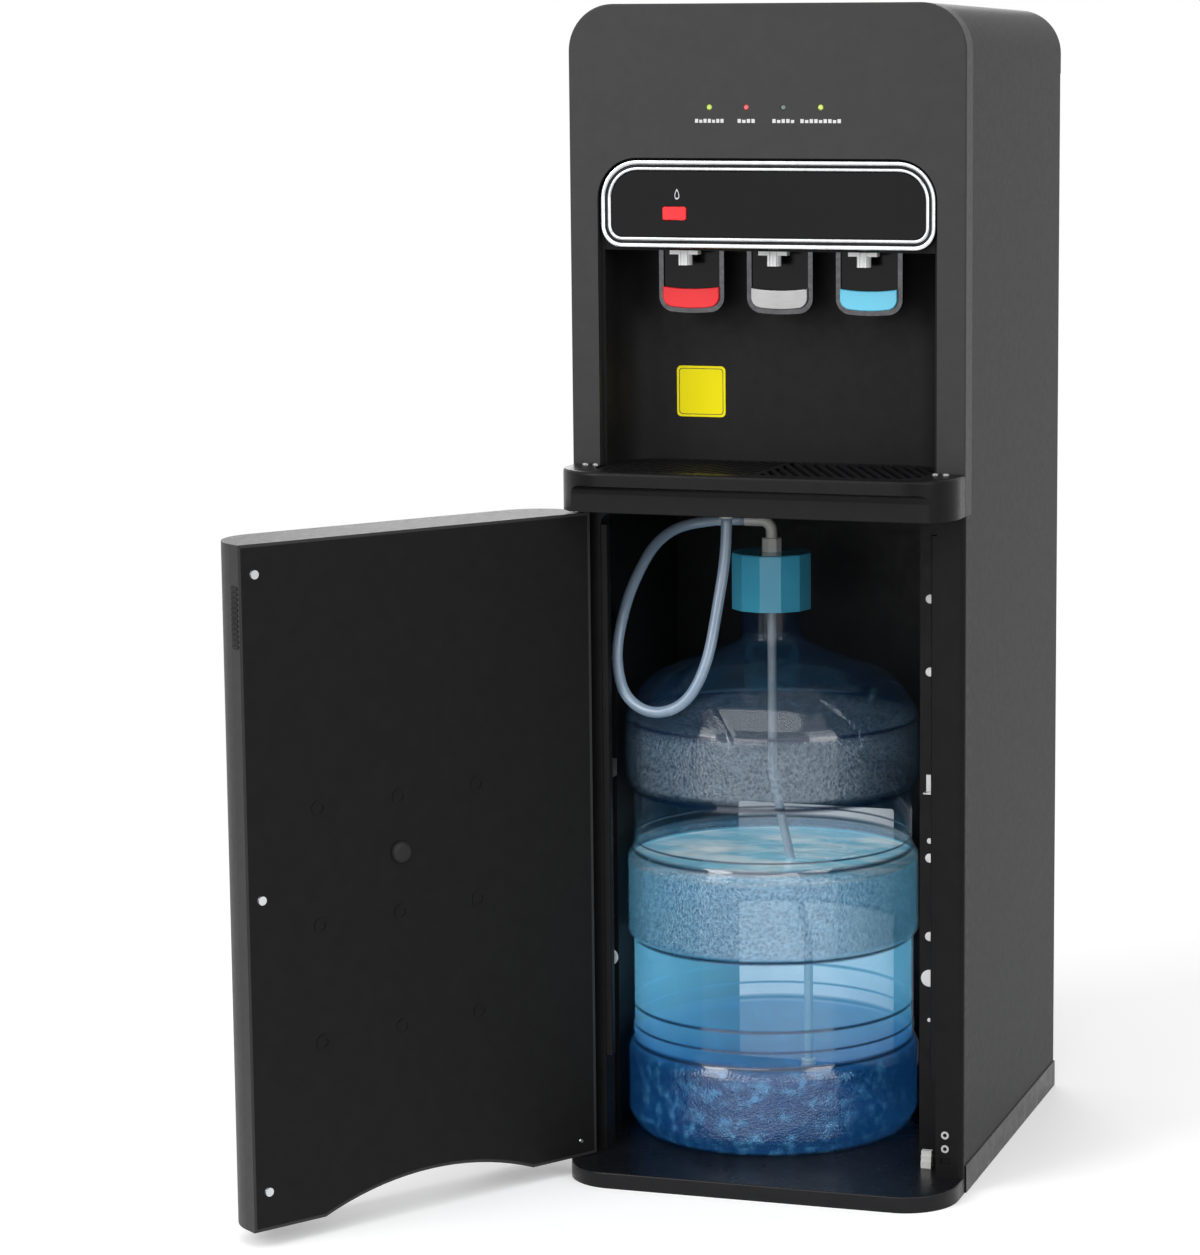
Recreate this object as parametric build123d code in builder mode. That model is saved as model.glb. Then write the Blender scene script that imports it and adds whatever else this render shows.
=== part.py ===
from build123d import *
import os
from math import cos, hypot, pi, radians, sin, tan

os.makedirs("parts", exist_ok=True)

# Bottom-loading water cooler, in millimetres.
# X runs to the right and Y to the back, as seen by someone facing the taps, and Z runs up.
# The origin is on the floor, under the centre of the cabinet.

# ---- driving sizes of the cabinet ----
body_width = 345.0
body_depth = 355.0          # from the flat of the fascia to the rear edges
body_height = 1005.0
cap_band = 57.0             # height of the top cap's sides
cap_seam_height = body_height - cap_band
ceiling_height = 576.0      # underside of the bottle compartment's ceiling
apron_rise = 7.0            # of the tray housing's underside over the ceiling's
apron_bottom = ceiling_height + apron_rise
apron_height = 35.0
tray_lip_height = apron_bottom + apron_height
bulge = 62.0                # how far tray housing, door and base stand in front of the fascia
bulge_corner = 46.0
top_corner = 39.0
base_height = 14.0

# ---- walls and clearances ----
plastic_wall = 2.5
fascia_wall = 3.0
sheet = 1.2
side_return = 22.0          # depth of the fascia's side walls
seat_gap = 0.3              # between bodies that rest or slide on each other
slide_gap = 0.8             # around the lift-out tray
pin_play = 0.2              # radial play of a hinge pin in its bore

half_width = body_width / 2
front_y = -body_depth / 2
rear_y = body_depth / 2
bulge_y = front_y - bulge
panel_front_y = front_y + side_return
panel_inner_x = half_width - sheet


def keep(part, name):
    """Label a finished piece and write it under its own name."""
    part.label = name
    export_step(part, f"parts/{name}.step")


def upright(y):
    """The plane that faces the viewer at depth y, with X to the right and Z up."""
    return Plane(origin=(0, y, 0), x_dir=(1, 0, 0), z_dir=(0, -1, 0))


on_top = (Align.CENTER, Align.CENTER, Align.MIN)


def rounded(half, low, high, low_radius=0.0, high_radius=0.0, mode=Mode.ADD):
    """A rectangle about the middle line, with its two low and its two high corners rounded."""
    outline = Pos(0, (low + high) / 2) * Rectangle(2 * half, high - low, mode=Mode.PRIVATE)
    face = outline.face()
    if low_radius > 0:
        face = face.fillet_2d(low_radius, face.vertices().group_by(Axis.Y)[0])
    if high_radius > 0:
        face = face.fillet_2d(high_radius, face.vertices().group_by(Axis.Y)[-1])
    add(face, mode=mode)


# ================= base =================
rim_width = 3.0
ledge_width = 4.0
floor_thickness = 3.0
pan_bottom = 3.0
base_edge = 1.5
floor_half = half_width - rim_width
floor_bottom = base_height - floor_thickness

hinge_inset = 7.5           # hinge axis from the left side plane
hinge_reach = 12.0          # hinge axis in front of the fascia plane
hinge_pin_radius = 2.5
hinge_pin_seat = 5.0
hinge_boss_radius = 7.0
hinge_x = -half_width + hinge_inset
hinge_y = front_y - hinge_reach

with BuildPart() as base_pan:
    with BuildSketch():
        rounded(half_width, bulge_y, rear_y, low_radius=bulge_corner)
    extrude(amount=base_height)
    fillet(base_pan.faces().sort_by(Axis.Z)[-1].edges().group_by(Axis.Y)[:-1], base_edge)
    with BuildSketch(Plane.XY.offset(floor_bottom)):
        rounded(floor_half, bulge_y + rim_width, rear_y - rim_width, bulge_corner - rim_width)
    extrude(amount=floor_thickness, mode=Mode.SUBTRACT)
    pocket_half = floor_half - ledge_width
    pocket_inset = rim_width + ledge_width
    with BuildSketch(Plane.XY.offset(pan_bottom)):
        rounded(pocket_half, bulge_y + pocket_inset, rear_y - pocket_inset, bulge_corner - pocket_inset)
    extrude(amount=floor_bottom - pan_bottom, mode=Mode.SUBTRACT)
    with Locations((hinge_x, hinge_y, pan_bottom)):
        Cylinder(hinge_boss_radius, base_height - pan_bottom, align=on_top)
    with Locations((hinge_x, hinge_y, base_height)):
        Cylinder(hinge_pin_radius, 2 * hinge_pin_seat, mode=Mode.SUBTRACT)
keep(base_pan.part, "base_pan")

with BuildPart() as floor_plate:
    with BuildSketch(Plane.XY.offset(floor_bottom)):
        rounded(floor_half, bulge_y + rim_width, rear_y - rim_width, bulge_corner - rim_width)
    extrude(amount=floor_thickness)
    with Locations((hinge_x, hinge_y, floor_bottom)):
        Cylinder(hinge_boss_radius, floor_thickness, align=on_top, mode=Mode.SUBTRACT)
keep(floor_plate.part, "floor_plate")

strip_thickness = 1.2
strip_height = 24.0
strip_start = 8.0           # behind the fascia plane

with BuildPart() as plinth_strips:
    with BuildSketch():
        with Locations((half_width, (front_y + strip_start + rear_y) / 2)):
            Rectangle(strip_thickness, rear_y - front_y - strip_start, align=(Align.MIN, Align.CENTER))
    extrude(amount=strip_height)
    chamfer(plinth_strips.edges().filter_by(Axis.Y).group_by(Axis.Z)[-1].sort_by(Axis.X)[-1], strip_thickness / 2)
    mirror(about=Plane.YZ)
keep(plinth_strips.part, "plinth_strips")

# ================= sheet-metal sides, back and top cap =================
flange_width = 12.0
fold_radius = 2.0
rear_recess = 24.0          # back panel in from the side panels' rear edges
rear_panel_y = rear_y - rear_recess

with BuildPart() as side_panel_right:
    with BuildSketch(Plane.XY.offset(base_height)):
        with BuildLine():
            Polyline(
                (half_width, panel_front_y),
                (half_width, rear_y),
                (half_width - flange_width, rear_y),
                (half_width - flange_width, rear_y - sheet),
                (panel_inner_x, rear_y - sheet),
                (panel_inner_x, panel_front_y + sheet),
                (half_width - flange_width, panel_front_y + sheet),
                (half_width - flange_width, panel_front_y),
                close=True,
            )
        make_face()
    extrude(amount=cap_seam_height - base_height)
    outer_corner = side_panel_right.edges().filter_by(Axis.Z).sort_by(Axis.X)[-2:].sort_by(Axis.Y)[-1]
    fillet(outer_corner, fold_radius)
keep(side_panel_right.part, "side_panel_right")

with BuildPart() as side_panel_left:
    mirror(side_panel_right.part, about=Plane.YZ)
keep(side_panel_left.part, "side_panel_left")

vent_width = 60.0
vent_height = 6.0
vent_pitch = 16.0
vent_rows = 8
vent_columns = 3
vent_column_pitch = 90.0
lower_vent_height = 130.0
upper_vent_height = 860.0
inlet_x = -110.0
inlet_height = 64.0
inlet_width = 50.0
inlet_tall = 27.0
inlet_rim = 5.0            # of its flange, round the hole
switch_height = 760.0
switch_spacing = 40.0
switch_x = 110.0
switch_width = 15.0
switch_tall = 24.0
drain_x = -90.0
drain_height = 600.0
drain_radius = 9.0

with BuildPart() as rear_panel:
    with BuildSketch(upright(rear_panel_y)):
        with Locations((0, (base_height + cap_seam_height) / 2)):
            Rectangle(2 * panel_inner_x, cap_seam_height - base_height)
        with Locations((0, lower_vent_height), (0, upper_vent_height)):
            with GridLocations(vent_column_pitch, vent_pitch, vent_columns, vent_rows // 2):
                SlotOverall(vent_width, vent_height, mode=Mode.SUBTRACT)
        with Locations((inlet_x, inlet_height)):
            Rectangle(inlet_width - 2 * inlet_rim, inlet_tall, mode=Mode.SUBTRACT)
        with Locations((switch_x, switch_height), (switch_x - switch_spacing, switch_height)):
            Rectangle(switch_width, switch_tall, mode=Mode.SUBTRACT)
        with Locations((drain_x, drain_height)):
            Circle(drain_radius, mode=Mode.SUBTRACT)
    extrude(amount=-sheet)
keep(rear_panel.part, "rear_panel")

with BuildPart() as top_cap:
    with BuildSketch(upright(panel_front_y)):
        rounded(half_width, cap_seam_height, body_height, high_radius=top_corner)
    extrude(amount=-(rear_y - panel_front_y))
    with BuildSketch(upright(panel_front_y)):
        rounded(
            half_width - plastic_wall,
            cap_seam_height,
            body_height - plastic_wall,
            high_radius=top_corner - plastic_wall,
        )
    extrude(amount=-(rear_y - plastic_wall - panel_front_y), mode=Mode.SUBTRACT)
keep(top_cap.part, "top_cap")

# ================= upper fascia =================
opening_half = 148.0
opening_drop = 127.5        # of the opening's top under the cabinet's
opening_top = body_height - opening_drop
opening_corner = 35.0
opening_lip = 8.3           # depth of the wall around the opening
lamp_drop = 85.5
lamp_height = body_height - lamp_drop
lamp_pitch = 32.2
lamp_count = 4
lamp_radius = 2.5
fascia_edge = 1.5

with BuildPart() as front_bezel:
    with BuildSketch(upright(front_y)):
        rounded(half_width, apron_bottom, body_height, high_radius=top_corner)
    extrude(amount=-side_return)
    fillet(front_bezel.faces().sort_by(Axis.Y)[0].edges().group_by(Axis.Z)[1:], fascia_edge)
    with BuildSketch(upright(front_y + fascia_wall)):
        rounded(
            half_width - plastic_wall,
            apron_bottom,
            body_height - plastic_wall,
            high_radius=top_corner - plastic_wall,
        )
        rounded(
            opening_half + plastic_wall,
            apron_bottom,
            opening_top + plastic_wall,
            high_radius=opening_corner + plastic_wall,
        )
    extrude(amount=-(side_return - fascia_wall), mode=Mode.SUBTRACT)
    with BuildSketch(upright(front_y + fascia_wall)):
        rounded(
            opening_half + plastic_wall,
            apron_bottom,
            opening_top + plastic_wall,
            high_radius=opening_corner + plastic_wall,
        )
    extrude(amount=-(opening_lip - fascia_wall))
    with BuildSketch(upright(front_y)):
        rounded(opening_half, apron_bottom, opening_top, high_radius=opening_corner)
    extrude(amount=-opening_lip, mode=Mode.SUBTRACT)
    with BuildSketch(upright(front_y)):
        with Locations((0, lamp_height)):
            with GridLocations(lamp_pitch, 1, lamp_count, 1):
                Circle(lamp_radius)
    extrude(amount=-fascia_wall, mode=Mode.SUBTRACT)
keep(front_bezel.part, "front_bezel")

lamp_dome = 0.8
with BuildPart() as indicator_lenses:
    with Locations((0, front_y - lamp_dome / 2, lamp_height)):
        with GridLocations(lamp_pitch, 1, lamp_count, 1):
            Cylinder(
                lamp_radius,
                fascia_wall + 2 * lamp_dome,
                rotation=(90, 0, 0),
                align=(Align.CENTER, Align.CENTER, Align.MAX),
            )
    chamfer(indicator_lenses.faces().group_by(Axis.Y)[0].edges(), lamp_dome)
keep(indicator_lenses.part, "indicator_lenses")

# ================= cup niche and dispensing head =================
niche_half = 144.5          # inside half width
niche_back = 75.0           # inside depth behind the fascia plane
niche_corner = 40.0
niche_lap = 4.0             # into the tray housing
niche_bottom = tray_lip_height - niche_lap
niche_step = 1.0            # of its ceiling under the opening's top
niche_ceiling = opening_top - niche_step
liner_flange_half = 154.0
head_height = 76.5
head_bottom = niche_ceiling - head_height
head_wall = 3.0
part_gap = 0.3              # beside and above fixed mouldings that drop in
liner_y = front_y + opening_lip
niche_back_y = front_y + niche_back

with BuildPart() as niche_liner:
    with BuildSketch(Plane.XY.offset(niche_bottom)):
        rounded(
            niche_half + plastic_wall,
            liner_y,
            niche_back_y + plastic_wall,
            high_radius=niche_corner + plastic_wall,
        )
    extrude(amount=niche_ceiling + plastic_wall - niche_bottom)
    with BuildSketch(upright(liner_y)):
        rounded(liner_flange_half, niche_bottom, opening_top + plastic_wall + 2 * fascia_wall)
    extrude(amount=-plastic_wall)
    with BuildSketch(Plane.XY.offset(niche_bottom)):
        rounded(niche_half, liner_y, niche_back_y, high_radius=niche_corner)
    extrude(amount=niche_ceiling - niche_bottom, mode=Mode.SUBTRACT)
keep(niche_liner.part, "niche_liner")

tap_pitch = 78.5
tap_count = 3
tap_xs = [tap_pitch * (i - (tap_count - 1) / 2) for i in range(tap_count)]
tap_y = front_y + 25.0
nozzle_radius = 6.0
nozzle_bore = 4.0
nozzle_drop = 13.0          # below the head
nozzle_tab_width = 25.0
nozzle_tab_depth = 9.0
nozzle_tab_height = 4.0
valve_radius = 12.0
valve_height = 34.0

paddle_width = 58.0
paddle_thickness = 6.0
paddle_y = front_y + 44.0
pivot_rise = 7.0            # over the head's underside
paddle_pivot_height = head_bottom + pivot_rise
paddle_length = 61.5        # below its pivot
paddle_bottom = paddle_pivot_height - paddle_length
barrel_radius = 4.0
paddle_pin_radius = 1.5
ear_thickness = 3.0
ear_top = paddle_pivot_height + 4.5
slot_clear = 1.5
slot_depth = 20.0
slot_y = paddle_y + 2.0
ear_x = paddle_width / 2 + slot_clear + ear_thickness / 2   # from a paddle's centre line
pin_length = 2 * ear_x + ear_thickness

button_x = -81.0
button_rise = 31.0          # over the head's underside
button_height = head_bottom + button_rise
button_width = 21.0
button_tall = 11.4
button_corner = 2.0
button_play = 0.5


def button_hole(play, mode=Mode.ADD):
    """The lock button's outline, widened by a clearance."""
    with Locations((button_x, button_height)):
        RectangleRounded(button_width + 2 * play, button_tall + 2 * play, button_corner + play, mode=mode)


with BuildPart() as dispense_head:
    head_half = niche_half - part_gap
    head_back_y = niche_back_y - part_gap
    with BuildSketch(Plane.XY.offset(head_bottom)):
        rounded(head_half, liner_y, head_back_y, high_radius=niche_corner - part_gap)
    extrude(amount=niche_ceiling - head_bottom)
    with BuildSketch(Plane.XY.offset(head_bottom + head_wall)):
        rounded(
            head_half - head_wall,
            liner_y + head_wall,
            head_back_y - head_wall,
            high_radius=niche_corner - part_gap - head_wall,
        )
    extrude(amount=niche_ceiling - head_bottom - head_wall, mode=Mode.SUBTRACT)
    with BuildSketch(Plane.XY.offset(head_bottom)):
        with Locations((0, slot_y)):
            with GridLocations(tap_pitch, 1, tap_count, 1):
                Rectangle(paddle_width + 2 * slot_clear, slot_depth)
        with Locations((0, tap_y)):
            with GridLocations(tap_pitch, 1, tap_count, 1):
                Circle(nozzle_radius)
    extrude(amount=head_wall, mode=Mode.SUBTRACT)
    for tap_x in tap_xs:
        for side in (-1, 1):
            with BuildSketch(Plane.XY.offset(head_bottom)):
                with Locations((tap_x + side * ear_x, slot_y)):
                    Rectangle(ear_thickness, slot_depth)
            extrude(amount=ear_top - head_bottom)
    with Locations((0, paddle_y, paddle_pivot_height)):
        with GridLocations(tap_pitch, 1, tap_count, 1):
            Cylinder(paddle_pin_radius, pin_length, rotation=(0, 90, 0), mode=Mode.SUBTRACT)
    with BuildSketch(upright(liner_y)):
        button_hole(button_play)
    extrude(amount=-head_wall, mode=Mode.SUBTRACT)
keep(dispense_head.part, "dispense_head")

with BuildPart() as paddle_pins:
    with Locations((0, paddle_y, paddle_pivot_height)):
        with GridLocations(tap_pitch, 1, tap_count, 1):
            Cylinder(paddle_pin_radius, pin_length, rotation=(0, 90, 0))
keep(paddle_pins.part, "paddle_pins")

rib_size = 1.2
rib_pitch_x = 3.0
with BuildPart() as taps:
    with Locations((0, tap_y, 0)):
        with GridLocations(tap_pitch, 1, tap_count, 1):
            with Locations((0, 0, head_bottom - nozzle_drop)):
                Cylinder(nozzle_radius, nozzle_drop + head_wall, align=on_top)
            with Locations((0, 0, head_bottom + head_wall)):
                Cylinder(valve_radius, valve_height, align=on_top)
            with Locations((0, 0, head_bottom - nozzle_tab_height)):
                Box(nozzle_tab_width, nozzle_tab_depth, nozzle_tab_height, align=on_top)
            with Locations((0, 0, head_bottom - nozzle_drop)):
                for rib_x in (-1, 0, 1):
                    with Locations((rib_pitch_x * rib_x, 0, 0)):
                        Box(rib_size, 2 * nozzle_radius + rib_size, nozzle_drop, align=on_top)
            with Locations((0, 0, head_bottom - nozzle_drop)):
                Cylinder(nozzle_bore, nozzle_drop + head_wall, align=on_top, mode=Mode.SUBTRACT)
keep(taps.part, "taps")

# ---- chrome frame, gloss panel and child-lock button ----
frame_half = 146.5
frame_gap = 0.5             # under the niche's ceiling
frame_height = 74.0
frame_top = niche_ceiling - frame_gap
frame_bottom = frame_top - frame_height
frame_band = 9.8
frame_front = 2.0           # behind the fascia plane
frame_low_corner = 19.0
frame_high_corner = 33.0
groove_width = 1.4
groove_depth = 1.2
frame_edge = 1.0
panel_front = 4.5
frame_y = front_y + frame_front
button_proud = 1.5
button_depth = 7.0
button_edge = 0.8


def framed_window(inset):
    """The frame's outline, drawn in by a distance."""
    rounded(
        frame_half - inset,
        frame_bottom + inset,
        frame_top - inset,
        frame_low_corner - inset,
        frame_high_corner - inset,
    )


with BuildPart() as chrome_frame:
    with BuildSketch(upright(frame_y)):
        framed_window(0)
    extrude(amount=-(opening_lip - frame_front))
    fillet(chrome_frame.faces().sort_by(Axis.Y)[0].edges(), frame_edge)
    with BuildSketch(upright(frame_y)):
        framed_window(frame_band)
    extrude(amount=-(opening_lip - frame_front), mode=Mode.SUBTRACT)
    with BuildSketch(upright(frame_y)):
        framed_window((frame_band - groove_width) / 2)
    extrude(amount=-groove_depth, mode=Mode.SUBTRACT)
    with BuildSketch(upright(frame_y)):
        framed_window((frame_band + groove_width) / 2)
    extrude(amount=-groove_depth)
    with BuildSketch(upright(frame_y)):
        framed_window(frame_band)
    extrude(amount=-groove_depth, mode=Mode.SUBTRACT)
keep(chrome_frame.part, "chrome_frame")


with BuildPart() as control_panel:
    with BuildSketch(upright(front_y + panel_front)):
        framed_window(frame_band)
        button_hole(button_play, Mode.SUBTRACT)
    extrude(amount=-(opening_lip - panel_front))
keep(control_panel.part, "control_panel")

with BuildPart() as lock_button:
    with BuildSketch(upright(front_y + panel_front - button_proud)):
        button_hole(0)
    extrude(amount=-button_depth)
    fillet(lock_button.faces().sort_by(Axis.Y)[0].edges(), button_edge)
keep(lock_button.part, "lock_button")

# ---- cup paddles ----
paddle_rim = 4.0
paddle_corner = 13.0
paddle_sag = 2.5            # how far the lower edge bows down
insert_thickness = 2.5
block_height = 19.0
block_dip = 2.5
block_proud = 3.0


def bowed_shape(tap_x, half, low, high, sag):
    """A closed outline with straight sides, a flat top and a lower edge that bows down by sag."""
    with BuildLine(mode=Mode.PRIVATE) as outline:
        sides = Polyline(
            (tap_x - half, low + sag), (tap_x - half, high), (tap_x + half, high), (tap_x + half, low + sag)
        )
        ThreePointArc(sides @ 1, (tap_x, low), sides @ 0)
    return outline.edges()


def paddle_outline(tap_x, inset):
    """A paddle from the front, drawn in by a distance."""
    half = paddle_width / 2 - inset
    edges = bowed_shape(tap_x, half, paddle_bottom + inset, paddle_pivot_height - inset, paddle_sag)
    outline = make_face(edges)
    fillet(outline.vertices().group_by(Axis.Y)[0], paddle_corner - inset)


def above_dip(tap_x):
    """Everything above a paddle block's dished top edge."""
    low = paddle_bottom + paddle_rim + block_height - block_dip
    edges = bowed_shape(tap_x, paddle_width / 2, low, paddle_pivot_height, block_dip)
    return make_face(edges, mode=Mode.PRIVATE)


def make_paddle(tap_x, name):
    frame_face_y = paddle_y - paddle_thickness / 2
    with BuildPart() as paddle:
        with BuildSketch(upright(frame_face_y)):
            paddle_outline(tap_x, 0)
        extrude(amount=-paddle_thickness)
        with BuildSketch(upright(frame_face_y)):
            paddle_outline(tap_x, paddle_rim)
        extrude(amount=-paddle_thickness, mode=Mode.SUBTRACT)
        with BuildSketch(upright(paddle_y - insert_thickness / 2)):
            paddle_outline(tap_x, paddle_rim)
            add(above_dip(tap_x), mode=Mode.INTERSECT)
        extrude(amount=-insert_thickness)
        with Locations((tap_x, paddle_y, paddle_pivot_height)):
            Cylinder(barrel_radius, paddle_width, rotation=(0, 90, 0))
            Cylinder(paddle_pin_radius + pin_play, paddle_width, rotation=(0, 90, 0), mode=Mode.SUBTRACT)
    keep(paddle.part, "paddle_" + name)
    with BuildPart() as block:
        with BuildSketch(upright(frame_face_y - block_proud)):
            paddle_outline(tap_x, paddle_rim)
            add(above_dip(tap_x), mode=Mode.SUBTRACT)
        extrude(amount=-(paddle_thickness + block_proud))
        fillet(block.faces().sort_by(Axis.Y)[0].edges(), 1.0)
    keep(block.part, "block_" + name)


for tap_x, name in zip(tap_xs, ("hot", "room", "cold")):
    make_paddle(tap_x, name)

# ================= drip tray =================
tray_lip_width = 16.0       # from the front of the bulge to the tray well
well_rise = 9.0             # of the well's floor over the apron's underside
well_bottom = apron_bottom + well_rise
well_front_corner = 30.0
housing_rise = 5.0
housing_bottom = apron_bottom + housing_rise
apron_edge = 3.0
scoop_half = 163.0
scoop_height = 23.0
scoop_top = apron_bottom + scoop_height
scoop_depth = 11.0
scoop_end_corner = 10.0
scoop_roof_corner = 8.0
well_front_y = bulge_y + tray_lip_width
screw_x = 158.0
screw_gap = 9.0
screw_head_radius = 3.0
screw_head_height = 1.5
shoulder_y = front_y - 8.0

with BuildPart(mode=Mode.PRIVATE) as finger_scoop:
    with BuildSketch(Plane.XY.offset(apron_bottom - scoop_depth)):
        rounded(scoop_half, bulge_y - scoop_depth, bulge_y + scoop_depth, high_radius=scoop_end_corner)
    extrude(amount=scoop_top - apron_bottom + scoop_depth)
    fillet(finger_scoop.faces().sort_by(Axis.Z)[-1].edges().group_by(Axis.Y)[1:], scoop_roof_corner)

with BuildPart() as tray_housing:
    with BuildSketch(Plane.XY.offset(apron_bottom)):
        rounded(half_width, bulge_y, front_y, low_radius=bulge_corner)
    extrude(amount=tray_lip_height - apron_bottom)
    fillet(tray_housing.faces().sort_by(Axis.Z)[-1].edges().group_by(Axis.Y)[:-1], apron_edge)
    with BuildSketch(Plane.XY.offset(housing_bottom)):
        rounded(
            niche_half + plastic_wall,
            front_y,
            niche_back_y + plastic_wall,
            high_radius=niche_corner + plastic_wall,
        )
    extrude(amount=niche_bottom - housing_bottom)
    with BuildSketch(Plane.XY.offset(well_bottom)):
        rounded(niche_half, well_front_y, niche_back_y, well_front_corner, niche_corner)
    extrude(amount=tray_lip_height - well_bottom, mode=Mode.SUBTRACT)
    add(finger_scoop.part, mode=Mode.SUBTRACT)
    with Locations((hinge_x, hinge_y, apron_bottom)):
        Cylinder(hinge_pin_radius, 2 * hinge_pin_seat, mode=Mode.SUBTRACT)
keep(tray_housing.part, "tray_housing")

with BuildPart() as shoulder_screws:
    for screw_place in (-screw_x, screw_gap - screw_x, screw_x - screw_gap, screw_x):
        with Locations((screw_place, shoulder_y, tray_lip_height)):
            Cylinder(screw_head_radius, screw_head_height, align=on_top)
    chamfer(shoulder_screws.faces().group_by(Axis.Z)[-1].edges(), screw_head_height / 2)
keep(shoulder_screws.part, "shoulder_screws")

tray_wall = 2.0
tray_half = niche_half - slide_gap
tray_front_y = well_front_y + slide_gap
tray_back_y = niche_back_y - slide_gap
tray_bottom = well_bottom + seat_gap
grille_drop = 5.4           # of its underside under the housing's lip
grille_bottom = tray_lip_height - grille_drop
grille_thickness = 4.0


def tray_outline(inset, mode=Mode.ADD):
    """The drip tray from above, drawn in by a distance."""
    rounded(
        tray_half - inset,
        tray_front_y + inset,
        tray_back_y - inset,
        well_front_corner - slide_gap - inset,
        niche_corner - slide_gap - inset,
        mode,
    )


with BuildPart() as drip_tray:
    with BuildSketch(Plane.XY.offset(tray_bottom)):
        tray_outline(0)
    extrude(amount=grille_bottom - tray_bottom)
    with BuildSketch(Plane.XY.offset(tray_bottom + tray_wall)):
        tray_outline(tray_wall)
    extrude(amount=grille_bottom - tray_bottom - tray_wall, mode=Mode.SUBTRACT)
keep(drip_tray.part, "drip_tray")

# The grille's slats slant towards a spine from both sides.
grille_rim = 5.0
grille_spine = 6.0
slat_pitch = 9.0
slat_width = 4.2
slat_angle = 65.0           # from the front edge
grille_edge = 0.8
grille_middle_y = (tray_front_y + tray_back_y) / 2
grille_reach = 2 * hypot(tray_half, tray_back_y - tray_front_y)
slat_step = slat_pitch / sin(radians(slat_angle))
gap_count = 2 * int(grille_reach / slat_step / 2)

with BuildPart() as drip_grille:
    with BuildSketch(Plane.XY.offset(grille_bottom)):
        tray_outline(0)
    extrude(amount=grille_thickness)
    chamfer(drip_grille.faces().sort_by(Axis.Z)[-1].edges(), grille_edge)
    with BuildSketch(Plane.XY.offset(grille_bottom)):
        with Locations((0, grille_middle_y)):
            with GridLocations(slat_step, 1, gap_count, 1):
                Rectangle(grille_reach, slat_pitch - slat_width, rotation=-slat_angle)
        tray_outline(grille_rim, mode=Mode.INTERSECT)
        with Locations((grille_spine / 2, grille_middle_y)):
            Rectangle(tray_half, grille_reach, align=(Align.MIN, Align.CENTER), mode=Mode.INTERSECT)
        mirror(about=Plane.YZ)
    extrude(amount=grille_thickness, mode=Mode.SUBTRACT)
keep(drip_grille.part, "drip_grille")

# ================= bottle compartment =================
compartment_half = 148.5    # clear half width between the door frame's stiles
compartment_corner = 10.0
frame_corner = 5.0          # lets the door's edge swing past
trim_width = 5.5
trim_depth = 8.0
trim_bottom = 100.0
trim_gap = 10.0
trim_top = ceiling_height - trim_gap
trim_set_back = 1.0
hex_screw_x = 157.0
hex_screw_heights = (52.0, 40.0)
hex_screw_radius = 3.4
hex_screw_head = 1.2
hex_socket = 1.9
pocket_height = 29.0
pocket_wide = 9.0
pocket_tall = 5.0
pocket_deep = 1.5

with BuildPart() as door_frame:
    frame_high = apron_bottom
    with BuildSketch(upright(front_y)):
        rounded(half_width, base_height, frame_high)
    extrude(amount=-side_return)
    fillet(door_frame.edges().filter_by(Axis.Z).group_by(Axis.Y)[0], frame_corner)
    with BuildSketch(upright(front_y)):
        rounded(compartment_half, base_height, ceiling_height, high_radius=compartment_corner)
    extrude(amount=-side_return, mode=Mode.SUBTRACT)
    stile_middle = (half_width - plastic_wall + compartment_half + plastic_wall) / 2
    stile_hollow = half_width - compartment_half - 2 * plastic_wall
    with BuildSketch(upright(front_y + fascia_wall)):
        for side in (-1, 1):
            with Locations((side * stile_middle, (base_height + ceiling_height) / 2)):
                Rectangle(stile_hollow, ceiling_height - base_height - 2 * compartment_corner)
    extrude(amount=-(side_return - fascia_wall), mode=Mode.SUBTRACT)
    with Locations((hex_screw_x, front_y, pocket_height)):
        Box(pocket_wide, 2 * pocket_deep, pocket_tall, mode=Mode.SUBTRACT)
keep(door_frame.part, "door_frame")

with BuildPart() as frame_screws:
    for screw_height in hex_screw_heights:
        with BuildSketch(upright(front_y - hex_screw_head)):
            with Locations((hex_screw_x, screw_height)):
                Circle(hex_screw_radius)
                RegularPolygon(hex_socket, 6, mode=Mode.SUBTRACT)
        extrude(amount=-hex_screw_head)
keep(frame_screws.part, "frame_screws")

with BuildPart() as edge_trims:
    with BuildSketch(Plane.XY.offset(trim_bottom)):
        with Locations((compartment_half, front_y + trim_set_back)):
            Rectangle(trim_width, trim_depth, align=(Align.MAX, Align.MIN))
    extrude(amount=trim_top - trim_bottom)
    fillet(edge_trims.edges().filter_by(Axis.Z).group_by(Axis.X)[0].sort_by(Axis.Y)[0], trim_width / 3)
    mirror(about=Plane.YZ)
keep(edge_trims.part, "edge_trims")

# The back of the compartment steps forward on the right, where the compressor stands behind it.
bottle_radius = 132.0
bottle_x = -37.0
bottle_depth = 135.0        # bottle's axis behind the fascia plane
bottle_y = front_y + bottle_depth
partition_depth = 272.0
partition_y = front_y + partition_depth
step_x = 80.0
step_depth = 215.0
step_y = front_y + step_depth
ceiling_thickness = 3.0
deck_height = ceiling_height + ceiling_thickness    # the works stand on the ceiling

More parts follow.
